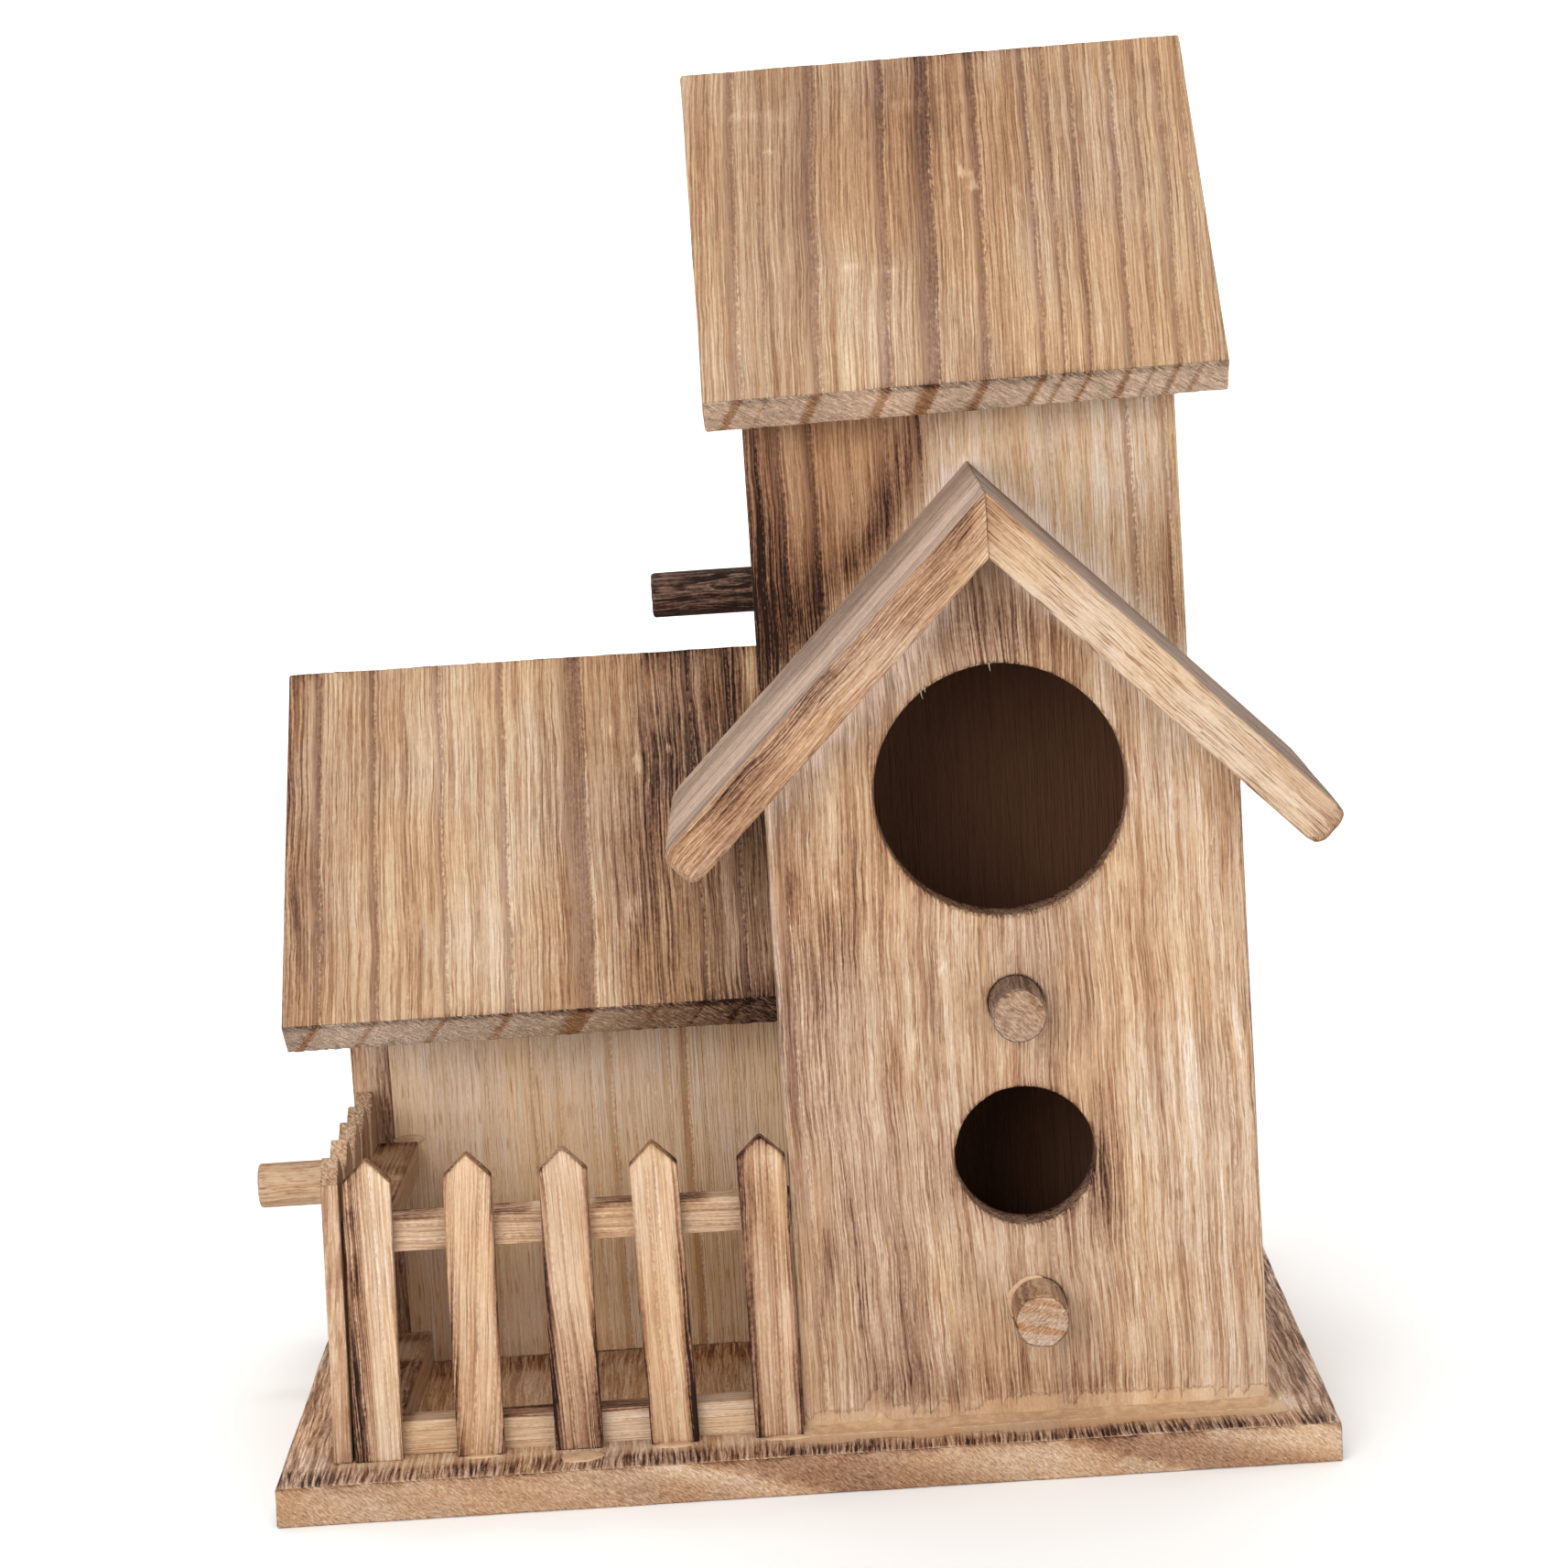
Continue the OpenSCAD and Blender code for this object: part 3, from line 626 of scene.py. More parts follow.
def wood(name, width, bands=(), level=165, thick=7.4, slant_b=0.0, slant_c=0.0, warp=0.3, wob=0.3, line=34, fine=22, dash=22, pitch=1.0,
         long=1.0, blotch=12, isle=0.6, end_level=165, band_dark=42, band_end=34, rough=0.84, bump=0.8, dash_cut=(0.56, 0.70), flame=1.6, speck=30,
         broad=8, wander=0.5, wiggle=0.45, tint=(1.0, 1.0, 1.0), coolness=0.9, comb=0.0, hair=1.3, lean=0.0):
    """Torched and brushed light wood. Levels are lightness steps out of 255; lengths are millimetres in the board's own frame."""
    k = Nodes(name)
    a, b, c = k.split(k.attr("wd", True))
    burn_and_shade, gr, tn, eg, dk, gl, il, wm = (k.attr(q) for q in ("burn_and_shade", "gr", "tn", "eg", "dk", "gl", "il", "wm"))
    # every board is cut from another place in the tree
    off = sum((i + 1) * ord(ch) for i, ch in enumerate(name)) % 89
    bs, cs = k.math("ADD", b, 37.7 * off), k.math("ADD", c, 11.3 * (off % 13))
    # the rings wander a little down the board, and more where the torch has drawn them
    w0 = k.noise(k.join(k.mul(a, 0.03), k.mul(bs, 0.045), 0.5), 1.0, 1.0)
    w1 = k.noise(k.join(k.mul(a, 0.035), k.mul(bs, 0.012), k.mul(cs, 0.05)), 1.0, 0.0)
    w2 = k.noise(k.join(k.mul(a, 0.30 / pitch), k.mul(bs, 0.07 / long), k.mul(cs, 0.4)), 1.0, 1.0)
    w3 = k.noise(k.join(k.mul(a, 0.9), k.mul(bs, 0.28), k.mul(cs, 0.9)), 1.0, 1.0)
    t = k.mad(w1, warp * 4, k.mad(b, slant_b, a))
    t = k.mad(k.math("SUBTRACT", w0, 0.5), wander * 4, t)
    t = k.mad(k.math("SUBTRACT", w2, 0.5), k.mad(burn_and_shade, flame * 2, wob * 2), t)
    t = k.mad(k.math("SUBTRACT", w3, 0.5), wiggle, t)
    t = k.mad(c, slant_c, k.math("SUBTRACT", t, warp * 2 + slant_c * thick))
    # striations, pores and specks, the first ones drawn out along the grain
    s1 = k.noise(k.join(k.mul(t, 2.2 / pitch), k.mul(bs, 0.034 / long), k.mul(cs, 1.0)), 1.0, 1.0, 0.5)
    s2 = k.noise(k.join(k.mul(t, 4.2 / pitch), k.mul(bs, 0.11 / long), k.mul(cs, 2.2)), 1.0, 1.0, 0.5)
    s3 = k.noise(k.join(k.mul(t, 4.2), k.mul(bs, 0.42 / long), k.mul(cs, 3.6)), 1.0, 0.0)
    sp = k.noise(k.join(k.mul(a, 2.3), k.mul(bs, 1.15), k.mul(cs, 2.3)), 1.0, 1.0, 0.6)
    f4 = k.noise(k.join(k.mul(a, 0.06), k.mul(bs, 0.030), k.mul(cs, 0.06)), 1.0, 2.0, 0.5)
    f5 = k.noise(k.join(k.mul(a, 0.34), k.mul(bs, 0.085), k.mul(cs, 0.3)), 1.0, 3.0, 0.62)
    f6 = k.noise(k.join(k.mul(t, 0.34), k.mul(bs, 0.022 / long), k.mul(cs, 0.2)), 1.0, 1.0, 0.5)
    gl = k.levels(k.mad(k.math("SUBTRACT", s1, 0.5), 1.0, gl), 0.36, 0.60)     # glue runs into the open grain
    l1, l2 = k.levels(s1, 0.385, 0.565), k.levels(s2, 0.37, 0.63)
    l1c, l2c, spc = (k.math("SUBTRACT", v, m) for v, m in ((l1, 0.56), (l2, 0.5), (sp, 0.5)))
    # latewood lines, at listed places
    lo, span = -12.0, width + 24.0
    band = None
    todo = sorted(bands)
    edge_noise = k.mad(spc, 1.6, k.mad(k.math("SUBTRACT", s2, 0.5), 0.9, t))
    while todo:
        part, todo = todo[:7], todo[7:]
        stops = [(0.0, grey(0))]
        last = 0.0
        for (pos, wid, dark, lean) in part:
            left, rgt = (0.40, 0.08) if lean > 0 else (0.08, 0.40)
            for q, v in ((pos - wid * (0.5 + left), 0), (pos - wid * 0.5 * (1 - left), dark), (pos + wid * 0.5 * (1 - rgt), dark), (pos + wid * (0.5 + rgt), 0)):
                f = max(last + 0.0004, (q - lo) / span)
                last = f
                if f < 0.999:
                    stops.append((f, grey(v)))
        r = k.ramp(k.math("MULTIPLY", k.math("SUBTRACT", edge_noise, lo), 1.0 / span), stops)
        band = r if band is None else k.math("MAXIMUM", band, r)
    if band is None:
        band = 0.0
    isles = k.levels(f5, 0.53, 0.64)
    # places where the brush or a scrape has taken the torched skin off
    rub = k.levels(k.mad(k.math("SUBTRACT", f5, 0.5), 1.5, k.mad(k.math("SUBTRACT", s2, 0.5), 0.5, il)), 0.40, 0.62)
    bare = k.mad(gl, -0.88, 1.0)
    keep = k.mul(k.mul(k.mad(band, -0.7, 1.0), k.mad(isles, -isle, 1.0)), k.mul(bare, k.mad(rub, -0.7, 1.0)))
    dashes = k.levels(s3, *dash_cut)
    L = k.mad(k.math("SUBTRACT", f4, 0.5), blotch * 2.6, float(level))
    L = k.mad(k.mul(k.math("SUBTRACT", f6, 0.5), bare), broad * 5.0, L)
    L = k.mad(k.mul(l1c, keep), float(line), L)
    L = k.mad(k.mul(l2c, keep), float(fine), L)
    L = k.mad(k.mul(dashes, keep), -float(dash), L)
    L = k.mad(k.mul(isles, bare), isle * 14, L)
    L = k.mad(rub, 27.0, L)
    L = k.mad(k.mul(spc, k.mad(band, 1.0, 1.0)), float(speck), L)
    L = k.mad(k.mul(band, k.mul(bare, k.mad(rub, -0.6, 1.0))), -float(band_dark), L)
    # torch marks, and painted shade on the insides, which shares their mask: ridges stay lighter where the marks fade
    open_grain = k.mad(l2c, -0.40 - comb, k.mad(l1c, -0.55 - comb, 1.0))
    broken = k.math("MAXIMUM", k.mul(k.mul(burn_and_shade, k.mad(rub, -0.6, 1.0)), k.mad(spc, -0.9, open_grain)), 0.0)
    L = k.mad(broken, -125.0, L)
    # end grain: fibre ends, felted and lighter
    e1 = k.noise(k.join(k.mul(k.mad(c, lean, a), 2.1), k.mul(bs, 1.8), k.mul(cs, hair)), 1.0, 2.0, 0.62)
    e1c = k.math("SUBTRACT", e1, 0.5)
    LE = k.mad(e1c, 150.0, k.mad(k.math("SUBTRACT", f4, 0.5), 26.0, float(end_level)))
    LE = k.mad(l2c, 7.0, k.mad(l1c, 10.0, LE))
    LE = k.mad(band, -float(band_end), LE)
    LE = k.mad(k.mul(burn_and_shade, k.mad(e1c, -2.0, 1.0)), -125.0, LE)
    L = k.mad(eg, k.math("SUBTRACT", LE, L), L)
    L = k.mad(tn, 255.0, L)
    colour = k.ramp(k.mul(L, 1 / 255.0), [(p / 255.0, lin(cv)) for p, cv in TONES])
    # a change of hue from place to place, cooler latewood, a grey weathered tone where it is worn, which on the tower
    # perch is a painted sheen
    warm = k.mix(k.levels(k.mad(k.math("SUBTRACT", s1, 0.5), 0.4, f4), 0.36, 0.64), (1.025, 0.99, 0.92, 1), (0.975, 1.0, 1.05, 1))
    colour = k.mix(1.0, colour, warm, "MULTIPLY")
    cool = k.mul(k.mad(burn_and_shade, 0.55 * coolness, k.mul(band, coolness) if bands else 0.0), k.mad(eg, -1.0, 1.0))
    colour = k.mix(cool, colour, k.mix(1.0, colour, (0.90, 0.96, 1.12, 1), "MULTIPLY"))
    bw = k.t.nodes.new("ShaderNodeRGBToBW")
    k.put(bw.inputs[0], colour)
    greyed = k.mix(1.0, bw.outputs[0], (1.24, 0.96, 0.76, 1), "MULTIPLY")
    colour = k.mix(k.mul(gr, k.mul(k.mad(l1c, 0.3, 0.9), k.mad(band, -0.7, 1.0) if bands else 1.0)), colour, greyed)
    colour = k.mix(gl, colour, k.mix(1.0, colour, (1.0, 0.98, 0.93, 1), "MULTIPLY"))
    colour = k.mix(wm, colour, k.mix(1.0, colour, (1.08, 1.0, 0.88, 1), "MULTIPLY"))
    ring = k.mul(k.mul(eg, band), 0.8) if bands else 0.0
    colour = k.mix(ring, colour, k.mix(1.0, colour, (1.16, 0.97, 0.78, 1), "MULTIPLY"))
    colour = k.mix(1.0, colour, (0.835 * tint[0], 0.781 * tint[1], 0.777 * tint[2], 1), "MULTIPLY")
    # painted shade: the unlit insides are given a dark brown colour
    colour = k.mix(dk, colour, k.mix(l1, lin((88, 59, 42)), lin((94, 63, 45))))
    k.put(k.bsdf.inputs["Base Color"], colour)
    k.put(k.bsdf.inputs["Roughness"], k.mad(gl, -0.16, k.mad(l2c, 0.10, rough)))
    k.bsdf.inputs["Specular IOR Level"].default_value = 0.12
    h = k.noise(k.join(k.mul(a, 3.0 / pitch), k.mul(bs, 0.12 / long), k.mul(cs, 2.0)), 1.0, 1.0, 0.55)
    h = k.mul(h, k.mad(gl, -1.6, 2.0))
    h = k.mad(k.mul(eg, e1), 3.6, h)
    bp = k.t.nodes.new("ShaderNodeBump")
    bp.inputs["Strength"].default_value = bump
    bp.inputs["Distance"].default_value = 0.0003
    k.put(bp.inputs["Height"], h)
    k.put(k.bsdf.inputs["Normal"], bp.outputs[0])
    return k.mat


# ------------------------------------------------------------------ where each board is burnt, worn or pale, and where shade and light are painted
class At:
    """What the paint functions see: places on one board, in millimetres."""

    def __init__(self, bd):
        P = coords(bd.ob.data)
        self.x, self.y, self.z = P.T
        self.lying = "roof" in bd.ob.name
        loc = bd.local(P)
        self.a, self.b, self.c = loc.T
        if isinstance(bd, Dowel):
            rad = np.hypot(self.a, self.c)
            self.eg = ((self.b < 0.12) & (rad < bd.radius - 0.25)).astype(float)
            self.edge = np.where(self.b < 0.3, np.maximum(bd.radius - rad, 0), self.b)
            self.face = np.zeros(len(P))
        else:
            v0, v1 = bd.v0(self.a, self.c), bd.v1(self.a, self.c)
            d = np.sort(np.stack([self.a, bd.width - self.a, self.b - v0, v1 - self.b, self.c, bd.thick - self.c]), 0)
            self.edge = np.maximum(d[1], 0)
            dv = np.minimum(self.b - v0, v1 - self.b)
            du = np.minimum(self.a, bd.width - self.a)
            dw = np.minimum(self.c, bd.thick - self.c)
            self.eg = ((dv < 0.5) & (np.minimum(du, dw) > dv - 0.12)).astype(float)
            self.face = ((bd.thick - self.c) < 0.5).astype(float)     # the outer face
            self.v0, self.v1 = v0, v1
        self.seed = bd.seed
        self.low = vnoise(self.a * 0.06, self.b * 0.03, self.c * 0.1, bd.seed + 5)
        self.mid = vnoise(self.a * 0.25, self.b * 0.09, self.c * 0.3, bd.seed + 6)
        self.hi = vnoise(self.a * 0.8, self.b * 0.35, self.c * 0.8, bd.seed + 7)


def paint(name, mat, burn_and_shade=None, tn=None, gr=None, dk=None, gl=None, il=None, wm=None):
    bd = BOARDS[name]
    p = At(bd)
    me = bd.ob.data
    zero = np.zeros(len(p.a))
    vals = {"burn_and_shade": burn_and_shade(p) if burn_and_shade else zero, "tn": (tn(p) if tn else zero) / 255.0, "gr": gr(p) if gr else zero, "eg": p.eg,
            "dk": dk(p) if dk else zero, "gl": gl(p) if gl else zero, "il": il(p) if il else zero, "wm": wm(p) if wm else zero}
    for key, v in vals.items():
        at = me.attributes.new(key, "FLOAT", "POINT")
        if key in ("burn_and_shade", "gr"):
            v = np.clip(v, 0, 1.2)
        elif key in ("dk", "gl", "il", "wm"):
            v = np.clip(v, 0, 1)
        at.data.foreach_set("value", np.asarray(v + zero, np.float32))
    wd = me.attributes.new("wd", "FLOAT_VECTOR", "POINT")
    wd.data.foreach_set("vector", np.stack([p.a, p.b, p.c], 1).astype(np.float32).ravel())
    me.materials.clear()
    me.materials.append(mat)
    me.set_sharp_from_angle(angle=math.radians(48))
    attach(bd.ob, "root")
    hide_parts(name)


def edge_burn(p, width=1.2, amount=0.35, cut=0.45):
    """Arrises that the torch has caught, here and there."""
    return amount * np.exp(-p.edge / width) * sm(p.low, cut, cut + 0.2) * (0.5 + p.mid)


# tower roof
tr_bands = [(9.5, 1.5, 0.7, 1), (14.7, 0.4, 0.5, 1), (24.6, 1.8, 0.85, 1), (37.6, 1.7, 0.9, 1), (46.0, 2.5, 1.05, 1), (55.5, 1.3, 0.9, 1),
            (65.5, 1.0, 0.8, 1), (69.6, 0.8, 0.75, 1), (74.6, 0.8, 0.8, 1), (82.0, 1.2, 0.9, 1), (86.5, 0.5, 0.6, 1), (91.0, 1.0, 0.7, 1),
            (95.2, 0.7, 0.5, 1)]


def scratch(p, x0, y0, x1, y1, s, w):
    d = np.array([x1 - x0, y1 - y0])
    ln = np.hypot(*d)
    s0 = ((p.a - x0) * d[0] + (p.b - y0) * d[1]) / ln
    dd = np.abs((p.a - x0) * d[1] - (p.b - y0) * d[0]) / ln
    return s * np.exp(-(dd / (w * 1.5)) ** 2) * (s0 > 0) * (s0 < ln) * p.face * (0.5 + p.hi)


def marks(p, spots):
    t = 0 * p.a
    for (x, y, w, h, s) in spots:
        t = np.maximum(t, s / 36 * blob(p.a, p.b if p.lying else p.z, x, y, w, h))
    return 0.62 * t * p.face


def tr_tone(p):
    t = 26 * blob(p.a, p.b, 31, 72, 8, 24) + 10 * blob(p.a, p.b, 72, 72, 26, 22) + 6 * blob(p.a, p.b, 88, 25, 12, 30) + 10 * blob(p.a, p.b, 62, 60, 8, 34)
    t -= 17 * blob(p.a, p.b, 38, 14, 22, 26) + 6 * blob(p.a, p.b, 92, 12, 10, 14)
    t -= 10 * blob(p.a, p.b, 20, 44, 5, 30) + 4 * blob(p.a, p.b, 10, 30, 12, 34)
    t += 14 * blob(p.a, p.b, 50, 52, 3.0, 26) + 9 * blob(p.a, p.b, 3, 60, 4, 40) - 8 * blob(p.a, p.b, 42, 50, 3, 30)
    for q in ((9, 12.4, 20, 13.2, 26, 0.5), (39.5, 12.8, 46, 12.9, 30, 0.55), (48, 12.6, 59, 13.0, 18, 0.5), (27.5, 51.5, 40, 54.5, 16, 0.5), (60, 36, 62.5, 37.5, 22, 0.5)):
        t += scratch(p, *q)
    return t


def tr_marks(p):
    return marks(p, ((16, 21.5, 2.2, 1.3, 30), (52, 31, 2.3, 2.4, 34), (53.5, 34.5, 1.4, 2.2, 34), (24, 51.5, 3.0, 1.2, 24), (18.5, 73.5, 1.5, 2.5, 26),
                            (50.5, 28, 1.0, 1.6, 26), (28, 43, 1.0, 1.2, 22), (43, 60, 1.1, 2.0, 18), (21, 60, 1.2, 1.4, 18), (14, 14.5, 3.0, 0.8, 24), (43, 12.8, 3.0, 0.5, 26)))


def roof_ends(p, thick, amount=0.30):
    """Sawn ends: the upper arris is scorched."""
    return amount * p.eg * sm(p.c, thick - 1.5, thick - 0.2) * (0.4 + p.mid) + 0.05 * p.eg


paint("tower_roof_front_board", wood("tower_roof_wood", 96.2, tr_bands, level=158, thick=ROOF_T, slant_b=0.045, slant_c=-0.36, line=30, fine=27, dash=18,
                                     pitch=0.88, wob=0.10, long=2.2, blotch=9, end_level=194, isle=0.35, band_dark=36, band_end=66, broad=9, wander=0.45, wiggle=0.35,
                                     tint=(1.0, 1.015, 0.985), coolness=0.6, hair=0.75, lean=-0.35),
      burn_and_shade=lambda p: edge_burn(p, 1.0, 0.25) + roof_ends(p, ROOF_T, 0.30) + 0.06 * sm(p.low, 0.5, 0.8) + 0.08 * blob(p.a, p.b, 40, 12, 16, 22),
      tn=tr_tone, gr=lambda p: 1.0 * p.eg, il=tr_marks, wm=lambda p: 0.35 * p.eg)
paint("tower_roof_back_board", wood("tower_roof_wood_back", 96.2, [(8, 1.6, .8, 1), (21, 1.0, .7, 1), (33, 2.0, 1, 1), (48, 1.2, .8, 1), (60, 1.4, .9, 1), (73, 1.0, .7, 1), (85, 1.6, .9, 1)],
                                    level=165, thick=ROOF_T, slant_b=-0.03, slant_c=-0.45, line=22, fine=24, dash=18, pitch=0.9, wob=0.12, long=1.8, end_level=186, band_end=70),
      burn_and_shade=lambda p: edge_burn(p, 1.0, 0.35) + roof_ends(p, ROOF_T) + 0.22 * sm(p.low, 0.55, 0.85), gr=lambda p: 0.8 * p.eg)

# annex roof
ar_bands = [(5.6, 1.2, 0.9, 1), (16.3, 1.1, 0.8, 1), (22.5, 0.6, 0.4, 1), (29.2, 1.0, 0.75, 1), (41.5, 1.2, 0.9, 1), (55.6, 3.4, 0.95, 1),
            (69.0, 0.8, 0.5, 1), (78.0, 0.8, 1.0, 1), (85.5, 1.0, 0.9, 1)]


def ar_burn(p):
    wob = 9 * (p.mid - 0.5) + 5 * (p.hi - 0.5)
    f = 0.27 * sm(p.a + wob, 64, 75) * (1 - sm(p.b + wob, 24, 52)) * (1 - 0.9 * blob(p.a, p.b, 90.5, 6, 1.8, 9))
    f += 0.14 * sm(p.a + wob, 58, 66) * (1 - sm(p.a, 74, 92)) * sm(p.b, 6, 30)
    f += 0.26 * blob(p.a + 0.5 * wob, p.b, 70.5, 42, 3.0, 14) + 0.30 * blob(p.a, p.b, 87.0, 8, 1.6, 9)
    f += 0.08 * sm(p.a, 60, 66)
    f += 0.50 * blob(p.a, p.b, 93, 84, 12, 7) + 0.12 * blob(p.a, p.b, 88, 50, 6, 22)
    f += 0.22 * blob(p.a, p.b, 51.5, 45, 3.2, 34)
    f += 0.20 * blob(p.a, p.b, 1.5, 45, 5, 44)
    f += p.eg * (0.13 * sm(p.a, 18, 50) + 0.20 * sm(p.a, 60, 90)) + roof_ends(p, ROOF_T, 0.42)
    f += 0.30 * np.exp(-np.maximum(p.b, 0) / 1.6) * sm(p.mid, 0.25, 0.6) * (0.5 + sm(p.a, 40, 70)) + edge_burn(p, 1.2, 0.25)
    return f


def ar_tone(p):
    t = 12 * blob(p.a, p.b, 42, 62, 13, 26) + 10 * blob(p.a, p.b, 34, 22, 9, 26) + 10 * blob(p.a, p.b, 48, 20, 5, 30) + 6 * blob(p.a, p.b, 36, 70, 8, 18)
    t -= 14 * blob(p.a, p.b, 3, 45, 5, 60) + 8 * blob(p.a, p.b, 17, 30, 4, 26)
    return t + 40 * blob(p.a, p.b, 90.5, 6, 1.4, 8) * p.face


def ar_marks(p):
    return marks(p, ((12.6, 55.5, 1.6, 3.0, 36), (13, 59, 1.2, 1.6, 32), (68, 10, 1.6, 2.6, 32), (74, 24, 1.8, 3.0, 34), (43, 76, 2.6, 2.0, 26), (47, 77, 2.0, 1.6, 26),
                            (11, 68, 1.8, 2.0, 26), (7.5, 75, 1.8, 2.4, 26), (26, 33, 1.5, 2.2, 22), (62, 52, 1.5, 2.0, 24), (79, 47, 1.8, 2.5, 26), (34, 55, 1.2, 2.0, 16),
                            (88, 60, 1.6, 3.0, 22), (66, 30, 1.4, 3.0, 24), (63, 20, 1.2, 3.0, 22), (67, 27, 2.4, 5.0, 22), (64, 40, 1.6, 6.0, 20),
                     (70, 14, 2.4, 5.0, 22), (66, 60, 1.8, 6.0, 20)))


paint("annex_roof_front_board", wood("annex_roof_wood", 91.9, ar_bands, level=162, thick=ROOF_T, slant_b=-0.012, slant_c=-0.5, line=36, fine=24, dash=18,
                                     pitch=0.95, wob=0.18, long=1.6, blotch=9, end_level=196, isle=0.6, flame=1.2, band_dark=40, band_end=50, broad=10, wander=0.4,
                                     tint=(1.0, 1.012, 0.985), coolness=0.6, hair=0.75, lean=-0.35), burn_and_shade=ar_burn, tn=ar_tone, il=ar_marks,
      gr=lambda p: p.eg * (1.0 - 0.7 * sm(p.a, 20, 75)))
paint("annex_roof_back_board", wood("annex_roof_wood_back", 91.9, [(7, 1, .8, 1), (19, 1.6, .9, 1), (34, 1.0, .7, 1), (50, 2.6, 1, 1), (66, 1.0, .8, 1), (80, 1.4, .8, 1)],
                                    level=168, thick=ROOF_T, slant_b=0.03, slant_c=-0.5, line=32, fine=24, dash=18, pitch=0.95, wob=0.2, end_level=176, band_end=50),
      burn_and_shade=lambda p: edge_burn(p, 1.2, 0.35) + roof_ends(p, ROOF_T) + 0.32 * sm(p.low, 0.55, 0.85), gr=lambda p: 0.6 * p.eg)


# front house
def rim(p, x, z, r, w):
    """0 to 1 in a band round a hole."""
    d = np.hypot(p.x - x, p.z - z) - r
    return np.exp(-np.maximum(d, 0) / w) * (d > -1.0)


# painted shade mask: the inner faces of the walls, which take the dark interior colour
def inside(p):
    return 1 - sm(p.c, 0.05, 0.6)


def inner_face(p, thick=WALL, dark=0.75):
    """Painted shade: the insides of the boxes are made dark, standing in for the shade inside them."""
    return dark * (1 - sm(p.c, 0.05, 0.6)) + 0.4 * (1 - sm(p.c, 0.5, 3.0)) * (1 - p.eg)


def fw_burn_and_inner_shade(p):
    f = 0.30 * blob(p.a, p.z, 39, 152, 6, 7) + 0.15 * blob(p.a, p.z, 44, 148, 16, 9)
    f += 0.30 * blob(p.a, p.z, 57.5, 56, 2.6, 10) + 0.18 * blob(p.a, p.z, 27.5, 52, 3.5, 8) + 0.14 * blob(p.a, p.z, 56, 44, 4, 6)
    f += 0.26 * blob(p.a - 0.09 * (85 - p.z), p.z, 7.2, 58, 1.8, 30) + 0.16 * blob(p.a, p.z, 20, 30, 9, 18)
    f += 0.12 * blob(p.a, p.z, 3.5, 80, 4, 34)
    f += 0.16 * blob(p.a, p.z, 12, 96, 12, 14) * (0.3 + 1.2 * p.mid)
    f += 0.10 * sm(p.mid, 0.5, 0.85) * (1 - sm(p.a, 45, 70))
    f += 0.12 * blob(p.a, p.z, 70, 30, 12, 16) * (0.3 + p.mid)
    f += 0.30 * rim(p, 41.7, 122, 22.5, 0.45) + 0.34 * rim(p, 42.4, 55.5, 12.65, 0.55)
    f += 0.30 * blob(p.a, p.z, 55.6, 50, 2.2, 7) * sm(p.a, 53, 54.5)
    f += 0.20 * sm(p.z, 10.0, 11.4) * (1 - sm(p.z, 13, 24)) * sm(p.a, 8, 16) * (1 - sm(p.a, 54, 66)) * sm(p.mid, 0.2, 0.6)
    f += 0.24 * rim(p, 42.2, 83.5, 4.9, 0.6) + 0.22 * rim(p, 43.2, 27.9, 4.9, 0.5)
    f += 0.30 * np.exp(-np.abs(p.a - 84.6) / 0.6) * (0.4 + p.mid)
    # inner_face adds painted shade on the wall's inner face; the rest is torch burn
    return f * (p.c > 0.6) + inner_face(p)


def fw_tone(p):
    t = 14 * sm(p.a, 50, 66) * p.face - 1 * (1 - sm(p.a, 20, 50))
    wav = p.a + 1.2 * (p.low - 0.5) + 1.0 * (vnoise(p.z * 0.05, 0.5, 0.5, 80) - 0.5)
    t += (15 * bell(wav, 61.2, 1.5) + 15 * bell(wav, 72.6, 1.5) + 10 * bell(wav, 78, 0.9) - 16 * bell(wav, 57, 0.9) - 17 * bell(wav, 66.6, 1.1)
          - 9 * bell(wav, 70.0, 0.5) - 12 * bell(wav, 75.8, 0.9) - 9 * sm(wav, 79.5, 81.5)) * p.face * (0.5 + 0.9 * p.mid)
    t += 12 * blob(p.a, p.z, 5, 15, 7, 10)
    t += fw_dust(p) * 78
    # painted shade: a little darker just under the gable rakes
    rake = (gable_under(p.x) - p.z) * SQ
    t -= 5 * np.exp(-np.maximum(rake, 0) / 8.0)
    t += 9 * (1 - sm(p.z, 10.0, 12.5)) * p.face
    return t


def fw_marks(p):
    return marks(p, ((17, 88, 3.0, 2.4, 26), (29, 91, 3.0, 2.2, 28), (13, 105, 3.0, 2.6, 24), (22, 97, 2.0, 1.6, 24), (36, 74, 3, 3, 20), (9, 80, 2, 4, 20),
                     (24, 78, 1.6, 4.0, 24), (50, 95, 2.0, 3.0, 18), (33, 66, 1.4, 4.0, 22), (18, 62, 1.5, 4.5, 20), (20, 83, 1.5, 5, 20), (11, 26, 1.2, 5, 18),
                     (16, 19, 1.4, 5, 20), (26, 24, 1.2, 5, 16), (66, 70, 1.2, 8, 16), (52, 74, 1.2, 8, 16)))


def fw_dust(p):
    """Sanding dust left along the rakes, blown down the wall on the left."""
    rake = (gable_under(p.x) - p.z) * SQ
    hair = vnoise(p.a * 0.9, p.z * 0.22, 1.0, 78)
    left = np.exp(-(np.maximum(rake, 0) / (3.0 + 3.0 * hair)) ** 2.2) * (0.72 + 0.40 * hair) * sm(-p.a, -38, -33) * (0.55 + 0.45 * sm(vnoise(p.a * 0.14, 5.0, 1.0, 75), 0.25, 0.55))
    rgt = np.exp(-np.maximum(rake, 0) / 0.8) * sm(p.a, 43, 46) * (1.0 - 0.75 * sm(p.a, 54, 60)) * (0.5 + 0.8 * hair)
    return (left + rgt) * p.face


